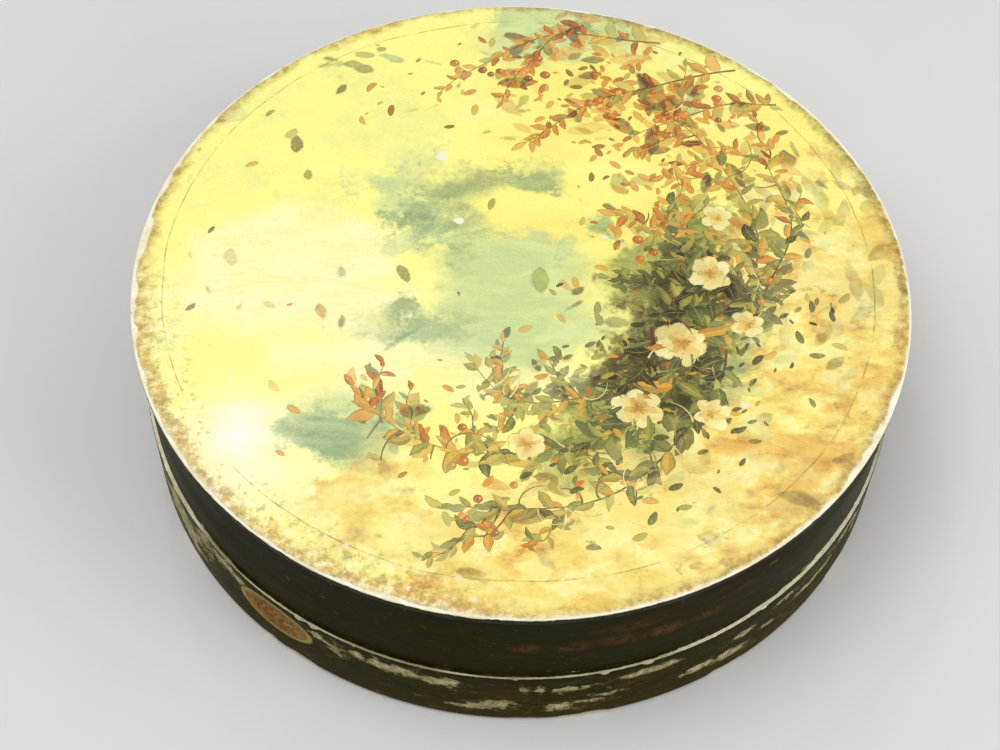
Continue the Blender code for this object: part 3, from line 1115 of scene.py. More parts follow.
def rimEdge(angle):
    # radius where the sheet's chipped edge stands: shallow scallops of clouds round the rim,
    # deeper where the rim is worn
    facts = sheetFacts
    turn = np.radians(angle)
    rim = np.stack([np.cos(turn), np.sin(turn), 0 * turn], -1) * boardRadius
    chips = facts["chipDepth"] * smooth(cloud(rim, 4.6, 3, 211), 0.50, 0.86)
    bites = 0.35 + 0.9 * smooth(cloud(rim, 3.6, 2, 223), 0.30, 0.72)
    for middle, spread, depth in facts["wornRim"]:
        chips = chips + depth * hump(angleGap(angle, middle), 0, spread) * bites
    return sheetRadius + facts["overBoard"] - chips


def discNet(cells):
    # A square net bent into a unit disc: each square ring of the net becomes a circle whose
    # angle runs evenly along the square's sides. An angle is that of its side's middle plus
    # an eighth of a turn times the share along the side.
    u, v = np.meshgrid(np.linspace(-1, 1, cells + 1), np.linspace(-1, 1, cells + 1), indexing="ij")
    radius = np.maximum(np.abs(u), np.abs(v))
    sideways = np.abs(u) >= np.abs(v)
    outwards = np.where(sideways, u, v)
    middle = np.where(sideways, np.where(u < 0, np.pi, 0), np.where(v < 0, -np.pi / 2, np.pi / 2))
    turn = middle + np.pi / 4 * np.where(sideways, v, -u) / np.where(outwards == 0, 1, outwards)
    return radius * np.cos(turn), radius * np.sin(turn)


def netLoop(cells):
    # the numbers of the net's outer points, once round
    index = np.arange((cells + 1) ** 2).reshape(cells + 1, cells + 1)
    return np.concatenate([index[0, :-1], index[:-1, -1], index[-1, :0:-1], index[:0:-1, 0]])


def sheetHeight(place):
    # the face is flat but for a soft wave, and rolls down to its worn edge
    angle, radius = polar(place)
    drop = sheetFacts["edgeDrop"] * smooth(rimEdge(angle) - radius, sheetFacts["edgeWidth"], -0.1) ** 1.5
    return sheetFace - drop - 0.02 * cloud(raised(place), 30, 3, 229)


def makeSheet(material):
    # the bent net for the face, a wall down from its edge and a fan across the back
    facts = sheetFacts
    cells = facts["cells"]
    x, y = (part.ravel() for part in discNet(cells))
    angle = np.degrees(np.arctan2(y, x))
    share = np.hypot(x, y)
    # only the outer rings follow the chipped rim, so that the rest of the net stays even
    reach = sheetRadius + (rimEdge(angle) - sheetRadius) * smooth(share, 0.90, 1.0)
    place = np.stack([x, y], -1) * reach[:, None]
    top = raised(place, sheetHeight(place))
    loop = netLoop(cells)
    back = raised(np.concatenate([place[loop], [[0, 0]]]), sheetFace - facts["thickness"])
    points = np.concatenate([top, back])
    lowLoop = len(top) + np.arange(len(loop))
    wall = np.stack([loop, np.roll(loop, -1), np.roll(lowLoop, -1), lowLoop], -1)
    net = gridFaces(cells + 1, cells + 1, wrapRows=False, wrapColumns=False)
    fan = fanFaces(lowLoop, len(points) - 1)
    around, away = polar(points)
    fields = {**washFields(points[:, :2]), "inward": rimEdge(around) - away}
    makePiece("painted_sheet", points, [net, wall, fan], material, "lid", "painted_face",
              ["lid_face_sheet"], fields)


def rimStain(place, inward, tone):
    # ochre-brown varnish stain in a broken band of uneven width along the rim, more olive at
    # the upper right, and inside it at the lower left a soft mottled whitish bloom: rubbed
    # varnish, and in part a painted sheen where the lamp's shine falls on the lid
    colours = sheetFacts["stain"]
    across, upward = apart(place, 0, 1)
    diagonal = across + upward
    broad = speckle(place, 0.13, 6, 0.6)
    fine = speckle(place, 0.55, 6, 0.7)
    frayed = inward + swing(place, 0.035, 6.0) + (broad - 0.5) * 5.0 + (fine - 0.5) * 2.6
    lowerLeft = ease(diagonal, -62.0, -98.0)
    mottle = speckle(place, 0.45, 8, 0.74)
    broadBand = ease(frayed, 4.6, 1.8) * lowerLeft * ease(mottle, 0.38, 0.56, 0.15, 0.8)
    band = larger(ease(frayed, 3.0, 0.2) * ease(mottle, 0.36, 0.60, 0.35, 0.9), broadBand)
    stain = layers(colours["dark"], (ease(fine, 0.35, 0.65), colours["light"]),
                   (ease(broad, 0.50, 0.64), colours["brown"]),
                   (ease(diagonal, 55.0, 100.0, 0, 0.65), colours["olive"]),
                   (lowerLeft * 0.6, colours["peach"]))
    reach = ease(frayed, 14.0, 5.0) * larger(lowerLeft, 0.12)
    # the whitish bloom is rubbed varnish and in part a painted sheen at the lower left
    return layers(tone, (band, stain), (reach * ease(mottle, 0.51, 0.64, 0, 0.6), colours["mould"]),
                  (reach * ease(mottle, 0.48, 0.36, 0, 0.8), colours["bloomAndSheen"]))


def scribedCircle(place, tone):
    # a fine broken line, drawn round with a compass a little inside the rim
    facts = sheetFacts
    x, y = facts["circleMiddle"]
    length = span("LENGTH", stretch(place, (1, 1, 0), shift=(-x, -y, 0)))
    gap = unsigned(length + swing(place, 0.05, 1.6) - facts["circleRadius"])
    line = ease(gap, facts["circleWidth"] * 1.5, facts["circleWidth"] * 0.4)
    line = line * ease(speckle(place, 0.16, 8, 0.75), 0.38, 0.64)
    return laid(tone, line * 0.6, facts["circle"]), line


def bareSpots(place, tone):
    # chipped spots where the white ground shows, with a hard ragged edge
    ragged = swing(place, 1.1, 2.6, 6, 0.7)
    gone = 0.0
    for x, y, size in sheetFacts["bareSpots"]:
        gap = span("DISTANCE", place, (x * sheetRadius, y * sheetRadius, sheetFace))
        gone = larger(ease(gap + ragged, size * 0.92, size * 0.72), gone)
    gone = larger(gone, ease(speckle(place, 0.75), 0.745, 0.765))
    return laid(tone, gone, sheetFacts["bare"]), gone


def agedFace(place, tone):
    # what age did to the whole face: grain of the ground, pepper marks and scratches
    grain = speckle(place, 2.3, 6, 0.7)
    pepper = ease(speckle(place, 1.25, 4, 0.6), 0.665, 0.70)
    marks = 0.0
    for turn, fineness in ((0.55, (0.045, 3.6, 1)), (-0.35, (0.05, 4.4, 1)), (1.35, (0.06, 4.0, 1))):
        marks = larger(ease(speckle(stretch(place, fineness, turn), 1.0, 2), 0.735, 0.76), marks)
    marks = marks * ease(speckle(place, 0.06), 0.46, 0.62)
    tone = shaded(tone, grey(ease(grain, 0.25, 0.75, 0.95, 1.04)))
    tone = layers(tone, (pepper * 0.22, sheetFacts["pepper"]), (marks * 0.35, sheetFacts["scratch"]))
    return tone, marks, grain


def washEffect(tone, pigment, wash, share, soft, rim, fine, ragged, grain, mottle, mottling):
    # One watercolour layer: its field, frayed by a fine noise, covers the tone where it is
    # above zero; pigment pools in a darker rim there, settles in the grain and is mottled.
    broken = wash + fine * ragged
    cover = ease(broken, soft * -1.0, soft)
    dried = ease(unsigned(broken - soft * 0.6), soft, 0.0) * rim
    mottled = shaded(pigment, grey((mottle - 0.5) * mottling + 1.0))
    return {"Tone": layers(tone, (cover * share * grain, mottled), (dried, pictureFacts["driedRim"]))}


washLayer = sharedEffect("washLayer", ("Tone", "Pigment", "Field", "Share", "Soft", "Rim", "Fine", "Ragged",
                                       "Grain", "Mottle", "Mottling"), washEffect)


def laidWashes(place):
    # all washes and dabs over the sunny ground, each pigment running from one of its tones to
    # the other
    facts = pictureFacts
    fine = swing(place, 0.22, 0.22, 4) + swing(place, 0.8, 0.24, 8, 0.72)
    grain = ease(speckle(place, 1.7, 6, 0.72), 0.30, 0.58, 0.72, 1.0)
    hairs = speckle(stretch(place, (0.16, 1.5, 1), 0.22), 1.0, 6, 0.65, 0.8)
    mottle = speckle(place, 0.9, 8, 0.75)
    softness = ease(speckle(place, 0.05), 0.40, 0.60, 0.35, 1.3)
    run = ease(speckle(stretch(place, (0.09, 0.2, 1), -0.2), 1.0, 6, 0.62, 0.5), 0.38, 0.62)
    running = {name: laid(first, run, second) for name, (first, second) in facts["pigments"].items()}
    tone = laid(facts["sun"], ease(hairs, 0.30, 0.72), 0.97 * facts["sun"])
    for name, strength, soft, rim, ragged in facts["washes"]:
        mottling = (mottle, 1.5) if name in facts["mottled"] else (hairs, 0.35)
        tone = washLayer(tone, running[name], field(name), strength, softness * soft, rim, fine, ragged,
                         grain, *mottling)
    for name, *_, pigments in facts["dabs"]:
        number = field(name + "Number")
        chosen = running[pigments[0]]
        for k, pigment in enumerate(pigments[1:], 1):
            chosen = laid(chosen, calc("GREATER_THAN", number, k / len(pigments)), running[pigment])
        strength = ease(number, 0, 1, 0.35, 0.8)
        tone = washLayer(tone, chosen, field(name), strength, softness * 0.24, 0.08, fine, 2.6, grain,
                         mottle, 0.7)
    return tone


def autumnClouds(place, tone):
    # loose clouds of peach, gold and cream with a few brown smudges, where the autumn field is high
    warm = field("autumn")
    billow = speckle(stretch(place, (0.12, 0.19, 1), -0.35), 1.0, 9, 0.64)
    share = ease(warm, 0.12, 0.8) * ease(speckle(place, 0.10, 4), 0.36, 0.62, 0.15, 0.8)
    smudge = ease(speckle(stretch(place, (0.22, 0.30, 1), -0.2), 1.0, 7, 0.7), 0.61, 0.69)
    return layers(tone, (share, rampOf(billow, *pictureFacts["clouds"])),
                  (smudge * warm * 0.5, pictureFacts["smudge"]))


def fineFoliage(place, tone):
    # massed foliage under the garland: clouds of dark, middle and lit greens and browns, and
    # over them small dabs, each a cell of a stretched pattern with its own tone
    heavy = field("foliage")
    mass = ease(heavy + swing(place, 0.20, 2.2, 7, 0.68), 0.50, 0.95, 0, 0.9) * ease(heavy, 0.25, 0.55)
    tone = laid(tone, mass, rampOf(speckle(place, 0.42, 9, 0.74, 0.5), *pictureFacts["massed"]))
    for fineness, turn, dark, light, reach in pictureFacts["leafCells"]:
        distance, draws = mosaic(stretch(place, fineness, turn))
        first, second = addNode("ShaderNodeSeparateColor", {0: draws}, (0, 1))
        inside = ease(distance + speckle(place, 1.6, 6, 0.7) * 0.5, 0.76, 0.58)
        share = inside * ease(second, 0.45, 0.50) * ease(heavy, 0.45, 0.95) * reach
        tone = laid(tone, share, laid(dark, ease(first, 0.2, 0.8), light))
    return tone


def paintedFinish():
    # the varnished face: washes, clouds and foliage, then what age did to them, from the
    # middle out to the worn rim
    material, place = newFinish("paintedFace")
    inward = field("inward")
    tone = fineFoliage(place, autumnClouds(place, laidWashes(place)))
    tone, marks, grain = agedFace(place, tone)
    tone, line = scribedCircle(place, tone)
    tone, gone = bareSpots(place, rimStain(place, inward, tone))
    frayed = inward + swing(place, 0.45, 1.6, 7, 0.72) + swing(place, 1.9, 1.3, 7, 0.72)
    edge = ease(frayed, 0.60, -0.05, 0, 0.92)
    haze = speckle(place, 0.09, 5)
    roughness = ease(haze, 0.3, 0.7, 0.26, 0.40) + larger(gone, edge) * 0.3
    height = grain * 0.35 - larger(line, gone) - marks * 0.3 + haze * 2.0
    tone = laid(tone, edge, sheetFacts["edge"])
    return fill(material, tone, roughness, height, 0.25, 0.00012, specular=0.1, coat=0.4)


makeSheet(paintedFinish())


# Lid picture: the brush strokes that stand a little proud of the sheet

strokeFacts = {
    "underside": 0.07,  # how deep a stroke's flat back lies in the sheet
    "goldenStep": 0.618034,  # between the numbers of neighbouring strokes, so that they stay apart
    # shares of a stroke's length where its points stand
    "leafStations": (0, 0.06, 0.2, 0.38, 0.58, 0.78, 0.93, 1.0),
    "lineStations": 22,
    "berryStations": (0, 0.08, 0.28, 0.5, 0.72, 0.92, 1.0),
    "dabStations": (0, 0.07, 0.26, 0.55, 0.82, 0.96, 1.0),
    # gains and colours: pigment pooled at an edge, a leaf's shaded half and its ribs, a petal's
    # base and streaks, and the light on a berry
    "pooledGain": (0.50, 0.44, 0.40, 1), "leafShadow": (0.78, 0.76, 0.74, 1), "rib": linear(246, 232, 150),
    "petalBase": (0.74, 0.50, 0.30, 1), "petalStreak": linear(196, 176, 96), "spark": linear(246, 206, 130),
    "lifts": {"stems": 0.05, "back": 0.045, "front": 0.075, "petals": 0.09, "berries": 0.11, "lines": 0.085,
              "dabs": 0.055},
}


def compass(turn):
    # the flat unit direction of an angle in radians: (cos, sin)
    return np.stack([np.cos(turn), np.sin(turn)], -1)


def headingPath(start, heading, length, bend, stations):
    # strokes from their starts along their headings, turning by bend radians on the way:
    # point = start + length * s * (cos, sin)(heading + bend * s)
    s = np.asarray(stations, float)
    turn = heading[:, None] + bend[:, None] * s
    return start[:, None] + (length[:, None] * s)[..., None] * compass(turn)


def strokePaths(strokes, stations):
    # paths of strokes given as rows of x, y, heading, length, tint and bend
    return headingPath(strokes[:, :2], strokes[:, 2], strokes[:, 3], strokes[:, 5], stations)


def strokeNet(paths, halfWidths, lifts):
    # Closed flat strokes, all with the same count of stations. Each station is a ring of six
    # points across the path: two edges in the sheet, three on the low crown, one underneath.
    strokes, stations = halfWidths.shape
    along = np.gradient(paths, axis=1)
    along = along / np.maximum(np.linalg.norm(along, axis=2, keepdims=True), 1e-9)
    aside = np.stack([-along[..., 1], along[..., 0]], -1)[:, :, None]
    across = np.array([-1, -0.6, 0, 0.6, 1, 0])
    rise = np.array([0, 0.8, 1, 0.8, 0, 0])
    flat = paths[:, :, None] + aside * (halfWidths[:, :, None] * across)[..., None]
    ends = np.minimum(1, halfWidths / np.maximum(0.25 * halfWidths.max(1, keepdims=True), 1e-6))
    height = lifts[:, None, None] * ends[:, :, None] * rise - 0.02
    height[..., 5] = -strokeFacts["underside"]
    points = np.concatenate([flat, height[..., None]], -1).reshape(-1, 3)
    first = np.arange(strokes)[:, None, None] * stations * 6
    station = np.arange(stations - 1)[None, :, None] * 6
    ring = np.arange(6)[None, None, :]
    nextRing = (ring + 1) % 6
    sides = np.stack([first + station + ring, first + station + nextRing, first + station + 6 + nextRing,
                      first + station + 6 + ring], -1).reshape(-1, 4)
    start = first[:, 0] + ring[0, :, ::-1]
    finish = first[:, 0] + (stations - 1) * 6 + ring[0]
    part = np.broadcast_to(np.linspace(0, 1, stations)[None, :, None], (strokes, stations, 6))
    side = np.broadcast_to(across, (strokes, stations, 6))
    return points, [sides, start, finish], part.ravel(), side.ravel()


def strokePiece(name, paths, halfWidths, lifts, tints, material, place=None, body="lid"):
    # one piece of many strokes, each point holding its share along and across the stroke,
    # the stroke's tint and number, and the wash that lies under it
    points, faceSets, along, across = strokeNet(paths, halfWidths, lifts)
    perStroke = len(points) // len(tints)
    number = np.repeat((np.arange(len(tints)) * strokeFacts["goldenStep"]) % 1, perStroke)
    if place is None:
        under = lidWash(points[:, :2])
        points = points + (0, 0, sheetFace)
    else:
        under = np.tile(ovalFacts["ground"], (len(points), 1))
        points = place(points)
    fields = {"along": along, "across": across, "tint": np.repeat(tints, perStroke), "number": number,
              "under": under}
    makePiece(name, points, faceSets, material, body, "painted_face" if body == "lid" else "dark_side",
              fields=fields)


def wateryEffect(place, pigment, under, along, across, number, body):
    # watercolour in a stroke: pigment gathers at its edges and its end, the wash shows
    # through where the brush was dry, and the ground's grain shows in it
    watery = speckle(place, 0.55, 7, 0.7)
    grain = speckle(place, 2.6, 5, 0.7)
    pooled = larger(ease(unsigned(across), 0.66, 0.95, 0, 0.28), ease(along, 0.72, 1.0, 0, 0.3))
    tone = layers(pigment, (pooled, shaded(pigment, strokeFacts["pooledGain"])),
                  (ease(watery, 0.54, 0.80), laid(pigment, 0.45, under)))
    cover = body * ease(grain, 0.28, 0.52, 0.72, 1.0) * ease(number, 0.0, 0.45, 0.78, 1.0)
    return {"Colour": laid(under, cover, tone), "Roughness": ease(watery, 0.3, 0.7, 0.28, 0.42),
            "Height": grain + pooled * 1.5}


wateryStroke = sharedEffect(
    "wateryStroke", ("Place", "Pigment", "Under", "Along", "Across", "Number", "Body"), wateryEffect)


def strokeFinish(name, body, *stops, ribs=False, spark=False, petal=False, gloss=0.4):
    # A finish for strokes: the tint chooses a colour from the stops. ribs draws a leaf's two
    # tones, middle rib and side veins; spark sets a light on each berry; petal deepens the
    # tone towards the flower's middle and streaks it.
    facts = strokeFacts
    material, place = newFinish(name)
    along, across, number = (field(label) for label in ("along", "across", "number"))
    tone = rampOf(field("tint") + swing(place, 0.30, 0.35), *stops)
    if ribs:
        tone = laid(tone, ease(across, -0.05, 0.05), shaded(tone, facts["leafShadow"]))
        side = unsigned(across)
        vein = unsigned(calc("FRACT", along * 6.5 - side * 1.6) - 0.5)
        veins = ease(vein, 0.13, 0.03, 0, 0.2) * ease(side, 0.95, 0.6)
        lines = larger(veins, ease(side, 0.11, 0.05, 0, 0.4))
        tone = laid(tone, lines, laid(tone, 0.55, facts["rib"]))
    if petal:
        streaks = speckle(joined(across * 3.2, along * 1.1, number * 30.0), 1.0, 5, 0.65)
        toBase = ease(along + (streaks - 0.5) * 1.1, 0.62, 0.12, 0, 0.8)
        tone = layers(tone, (toBase, shaded(tone, facts["petalBase"])),
                      (ease(streaks, 0.52, 0.68, 0, 0.35), facts["petalStreak"]))
    if spark:
        gap = unsigned(along - 0.64) * 2.2 + unsigned(across + 0.28)
        tone = laid(tone, ease(gap, 0.50, 0.16, 0, 0.6), facts["spark"])
    looks = wateryStroke(place, tone, field("under", "Color"), along, across, number, body)
    return fill(material, *looks, 0.25, 0.00008, specular=0.25 * gloss, coat=gloss)


leafStops = ((0, linear(44, 42, 22)), (0.16, linear(70, 74, 40)), (0.30, linear(118, 124, 58)),
             (0.44, linear(176, 168, 78)), (0.60, linear(230, 164, 58)), (0.80, linear(208, 104, 34)),
             (1, linear(120, 48, 20)))

garlandFacts = {
    # sprays of leaves: from angle and radius, to angle and radius, outward bow, leaves and
    # the longest leaf in millimetres; radii are in lid radii
    "sprays": ((-20, 0.46, -138, 0.56, 0.05, 70, 7.4), (-24, 0.56, -104, 0.74, 0.03, 42, 6.0),
               (-26, 0.38, -112, 0.32, 0.08, 34, 6.2), (-28, 0.46, 60, 0.70, 0.06, 54, 7.2),
               (-18, 0.56, 34, 0.80, 0.02, 36, 6.0), (-22, 0.38, 40, 0.32, 0.08, 28, 6.2),
               (52, 0.96, 90, 0.46, -0.04, 34, 5.6), (42, 0.96, 60, 0.54, 0.02, 22, 5.2),
               (66, 0.95, 110, 0.68, 0.05, 30, 5.2), (80, 0.96, 96, 0.62, 0.02, 20, 5.0)),
    "twigShares": (0.22, 0.16, 0.12, 0.22, 0.16, 0.12),  # of the first six sprays
    "twigs": 30, "twigLeaves": 11, "twigLeaf": 4.6, "twigReach": (0.07, 0.19),
    # roses: angle, radius, petal length in millimetres
    "roses": ((-27, 0.46, 6.0), (2, 0.49, 4.9), (-55, 0.51, 5.4), (-88, 0.53, 4.4), (-42, 0.64, 4.2),
              (-14, 0.60, 3.8), (22, 0.56, 3.6)),
    # their rings of petals: count, size, turn and tint; and the dabs of each heart
    "petalRings": ((6, 1.0, 0.0, 0.85), (5, 0.76, 0.55, 0.62), (5, 0.52, 0.2, 0.40), (4, 0.32, 0.7, 0.22)),
    "heartDabs": 16,
    "berryClusters": 9, "berriesEach": 6, "berrySize": 1.05,
    "curls": 10, "blades": 60, "scatter": 820,
    "seed": 41,
}


def polarPoint(angle, radius):
    # a place on the lid in millimetres from an angle in degrees and a radius in lid radii
    return compass(np.radians(angle)) * (np.asarray(radius) * sheetRadius)[..., None]


def sprayPath(spray, share):
    # a spray's stem: its angle runs evenly, and its radius runs evenly plus a bow outwards
    fromAngle, fromRadius, toAngle, toRadius, bow = spray[:5]
    angle = fromAngle + (toAngle - fromAngle) * share
    radius = fromRadius + (toRadius - fromRadius) * share + bow * np.sin(np.pi * share)
    wave = 0.012 * np.sin(share * 11 + fromAngle)
    return polarPoint(angle, radius + wave)


def leafTint(angle):
    # dark greens at the garland's heavy place, olive along its lower arm with some orange
    # towards its end, orange and red-brown along its upper arm
    heavy = hump(angleGap(angle, pictureFacts["garlandAngle"]), 0, 44)
    upper = smooth(angleGap(angle, 75), 78, 30)
    lower = smooth(angleGap(angle, -145), 50, 15)
    return 0.46 + 0.28 * upper + 0.22 * lower - 0.28 * heavy


def drawGarland(facts, random):
    # all sprays and twigs as stems and leaves: (paths, half widths) of the stems and
    # (start, heading, length, tint, bend) of the leaves
    sprays = list(facts["sprays"])
    for _ in range(facts["twigs"]):
        parent = facts["sprays"][random.choice(6, p=facts["twigShares"])]
        share = random.uniform(0.1, 0.95)
        start = sprayPath(parent, np.array([share]))[0]
        angle, radius = np.degrees(np.arctan2(start[1], start[0])), np.hypot(*start) / sheetRadius
        side = random.choice([-1, 1])
        reach = random.uniform(*facts["twigReach"]) * side
        onward = np.sign(parent[2] - parent[0]) * random.uniform(5, 16)
        sprays.append((angle, radius, angle + onward, np.clip(radius + reach, 0.12, 0.93), 0.01,
                       facts["twigLeaves"], facts["twigLeaf"]))
    stems, widths, leaves = [], [], []
    line = np.linspace(0, 1, strokeFacts["lineStations"])
    for spray in sprays:
        stems.append(sprayPath(spray, line))
        thick = 0.12 + 0.035 * spray[6]
        widths.append(thick * (1 - 0.75 * line))
        count, longest = spray[5], spray[6]
        share = np.clip(np.linspace(0.05, 1, count) + random.normal(0, 0.012, count), 0, 1)
        start = sprayPath(spray, share)
        ahead = sprayPath(spray, share + 0.01) - sprayPath(spray, share - 0.01)
        side = np.where(np.arange(count) % 2, 1, -1)
        aside = side * random.normal(0.78, 0.24, count) * (share < 0.97)
        heading = np.arctan2(ahead[:, 1], ahead[:, 0]) + aside
        length = longest * (1 - 0.42 * share) * random.uniform(0.68, 1.15, count)
        around = np.degrees(np.arctan2(start[:, 1], start[:, 0]))
        tint = np.clip(leafTint(around) + random.normal(0, 0.16, count), 0, 1)
        leaves.append(np.column_stack([start, heading, length, tint, random.uniform(-0.6, 0.6, count)]))
    return np.array(stems), np.array(widths), np.concatenate(leaves)


def leafWidths(length, stations, slim, random):
    # a leaf's outline: half width = slim * length * sin(pi s^0.8)^0.8, its hand-made wobble added
    s = np.asarray(stations, float)
    shape = np.sin(np.pi * s ** 0.8).clip(0) ** 0.8
    wobble = 1 + 0.10 * random.normal(0, 1, (len(length), len(s)))
    return (length * slim)[:, None] * shape * wobble.clip(0.7, 1.3) + 0.03


def berryShapes(middle, size, least):
    # round strokes: a straight path across each berry, and half widths that follow a circle
    s = np.asarray(strokeFacts["berryStations"])
    paths = headingPath(middle, np.full(len(size), 0.9), 2 * size, np.zeros(len(size)), s)
    return paths, size[:, None] * np.sqrt(np.clip(1 - (2 * s - 1) ** 2, 0, 1)) + least


def lift(kind, count, random):
    # how high each stroke of a kind stands, with a little chance
    return strokeFacts["lifts"][kind] * random.uniform(0.8, 1.1, count)


def onSheet(points, limit=0.94):
    # true for places within this share of the sheet's radius
    return np.hypot(points[:, 0], points[:, 1]) < limit * sheetRadius


def makeLeaves(leaves, random):
    # darker, wider leaves at the back and ribbed ones over them
    leafFinish = strokeFinish("leafPaint", 0.94, *leafStops, ribs=True)
    backFinish = strokeFinish("backLeafPaint", 0.74, *leafStops)
    stations = strokeFacts["leafStations"]
    leaves = leaves[onSheet(leaves)]
    back = random.uniform(0, 1, len(leaves)) < 0.4
    for name, some, finish, kind, gain in (("painted_back_leaves", back, backFinish, "back", 1.15),
                                           ("painted_leaves", ~back, leafFinish, "front", 1.0)):
        chosen = leaves[some] * (1, 1, 1, gain, 1, 1)
        length, tint = chosen[:, 3], chosen[:, 4]
        slim = random.uniform(0.17, 0.27, len(length))
        widths = leafWidths(length, stations, slim, random)
        strokePiece(name, strokePaths(chosen, stations), widths, lift(kind, len(length), random),
                    np.clip(tint - (0.18 if kind == "back" else 0), 0, 1), finish)


def makeRoses(facts, random):
    # Each rose has rings of 6, 5, 5 and 4 petals, each ring smaller and deeper in tone, and a
    # heart of short dabs, which is drawn later.
    petals, hearts = [], []
    for angle, radius, size in facts["roses"]:
        middle = polarPoint(angle, radius)
        spin = random.uniform(0, 2 * np.pi)
        for count, scale, turned, tint in facts["petalRings"]:
            heading = spin + turned + np.arange(count) * 2 * np.pi / count + random.normal(0, 0.14, count)
            petals.append(np.column_stack([np.tile(middle, (count, 1)), heading,
                                           size * scale * random.uniform(0.84, 1.1, count),
                                           np.clip(tint + random.normal(0, 0.10, count), 0, 1),
                                           random.uniform(-0.15, 0.15, count)]))
        count = facts["heartDabs"]
        heading = random.uniform(0, 2 * np.pi, count)
        hearts.append(np.column_stack([middle + 0.05 * size * compass(heading), heading,
                                       size * random.uniform(0.10, 0.34, count),
                                       random.uniform(0, 1, count), np.zeros(count)]))
    petals, hearts = np.concatenate(petals), np.concatenate(hearts)
    finish = strokeFinish("petalPaint", 0.9, (0, linear(206, 142, 66)), (0.30, linear(236, 190, 104)),
                          (0.60, linear(248, 226, 140)), (1, linear(252, 246, 178)), petal=True)
    s = np.asarray(strokeFacts["leafStations"])
    shape = np.sin(np.pi * np.clip(s, 0, 1) ** 1.35).clip(0) ** 0.62
    widths = petals[:, 3:4] * 0.46 * shape * (1 + 0.10 * random.normal(0, 1, (len(petals), len(s)))) + 0.04
    inner = 1 - petals[:, 3] / petals[:, 3].max()
    rise = strokeFacts["lifts"]["petals"] * (0.8 + 0.5 * inner)
    strokePiece("painted_petals", strokePaths(petals, s), widths, rise, petals[:, 4], finish)
    hearts[:, 4] = 0.45 + 0.3 * hearts[:, 4]
    return hearts


def makeBerries(facts, random):
    # berries in loose clusters along the sprays
    clusters = []
    for _ in range(facts["berryClusters"]):
        parent = facts["sprays"][random.choice(len(facts["sprays"]))]
        middle = sprayPath(parent, random.uniform(0.12, 0.98, 1))[0]
        count = facts["berriesEach"] + random.integers(-3, 4)
        clusters.append(np.column_stack([middle + random.normal(0, 2.9, (count, 2)),
                                         random.uniform(0.75, 1.15, count)]))
    berries = np.concatenate(clusters)
    berries = berries[onSheet(berries, 0.93)]
    count = len(berries)
    finish = strokeFinish("berryPaint", 0.9, (0, linear(120, 44, 24)), (0.5, linear(190, 78, 30)),
                          (1, linear(226, 128, 42)), spark=True)
    strokePiece("painted_berries", *berryShapes(berries[:, :2], facts["berrySize"] * berries[:, 2], 0.03),
                lift("berries", count, random), random.uniform(0, 1, count), finish)


def makeLines(facts, random):
    # fine curls and grass blades, some pale and some dark
    count = facts["curls"] + facts["blades"]
    parents = random.choice(6, count)
    start = np.array([sprayPath(facts["sprays"][parent], random.uniform(0.05, 1, 1))[0]
                      for parent in parents])
    away = np.arctan2(start[:, 1], start[:, 0]) + random.choice([0, np.pi], count)
    heading = away + random.normal(0, 0.6, count)
    isCurl = np.arange(count) < facts["curls"]
    length = np.where(isCurl, random.uniform(7, 13, count), random.uniform(3, 8, count))
    bend = np.where(isCurl, random.choice([-1, 1], count) * random.uniform(0.8, 1.9, count),
                    random.normal(0, 0.5, count))
    line = np.linspace(0, 1, strokeFacts["lineStations"])
    paths = headingPath(start, heading, length, bend, line)
    keep = onSheet(paths[:, -1], 0.92)
    widths = np.where(isCurl, 0.17, 0.26)[:, None] * (1 - 0.7 * line) + 0.02
    finish = strokeFinish("linePaint", 0.85, (0, linear(70, 64, 36)), (0.45, linear(120, 104, 52)),
                          (0.6, linear(226, 206, 122)), (1, linear(244, 234, 170)))
    strokePiece("painted_lines", paths[keep], widths[keep], lift("lines", keep.sum(), random),
                random.uniform(0, 1, keep.sum()), finish)


def makeDabs(facts, hearts, random):
    # small dabs thrown round the garland, and the hearts of the roses
    count = facts["scatter"]
    arm = pictureFacts["garlandAngle"] + 0.5 * random.uniform(-112, 96, count) + random.normal(0, 34, count)
    radius = 0.52 + random.normal(0, 0.13, count)
    hanging = random.uniform(0, 1, count) < 0.22
    arm = np.where(hanging, random.normal(68, 24, count), arm)
    radius = np.where(hanging, random.normal(0.74, 0.14, count), radius)
    anywhere = random.uniform(0, 1, count) < 0.02
    radius = np.where(anywhere, np.sqrt(random.uniform(0, 0.8, count)), radius)
    arm = np.where(anywhere, random.uniform(0, 360, count), arm)
    heading = np.radians(arm + 90) + random.normal(0, 0.9, count)
    length = random.uniform(1.0, 3.6, count)
    tint = np.clip(leafTint(arm) + random.normal(0, 0.2, count), 0, 1)
    thrown = np.column_stack([polarPoint(arm, radius), heading, length, tint, random.normal(0, 0.3, count)])
    thrown = thrown[onSheet(thrown, 0.95)]
    dabFinish = strokeFinish("dabPaint", 0.85, *leafStops)
    heartFinish = strokeFinish("heartPaint", 0.95, (0, linear(96, 62, 30)), (1, linear(232, 178, 66)))
    stations = np.asarray(strokeFacts["dabStations"])
    for name, some, finish, kind, slim in (("painted_dabs", thrown, dabFinish, "dabs", 0.24),
                                           ("painted_hearts", hearts, heartFinish, "berries", 0.16)):
        widths = (some[:, 3:4] * slim) * np.sin(np.pi * stations ** 0.9).clip(0) ** 0.6 + 0.03
        rise = lift(kind, len(some), random)
        strokePiece(name, strokePaths(some, stations), widths, rise, some[:, 4], finish)


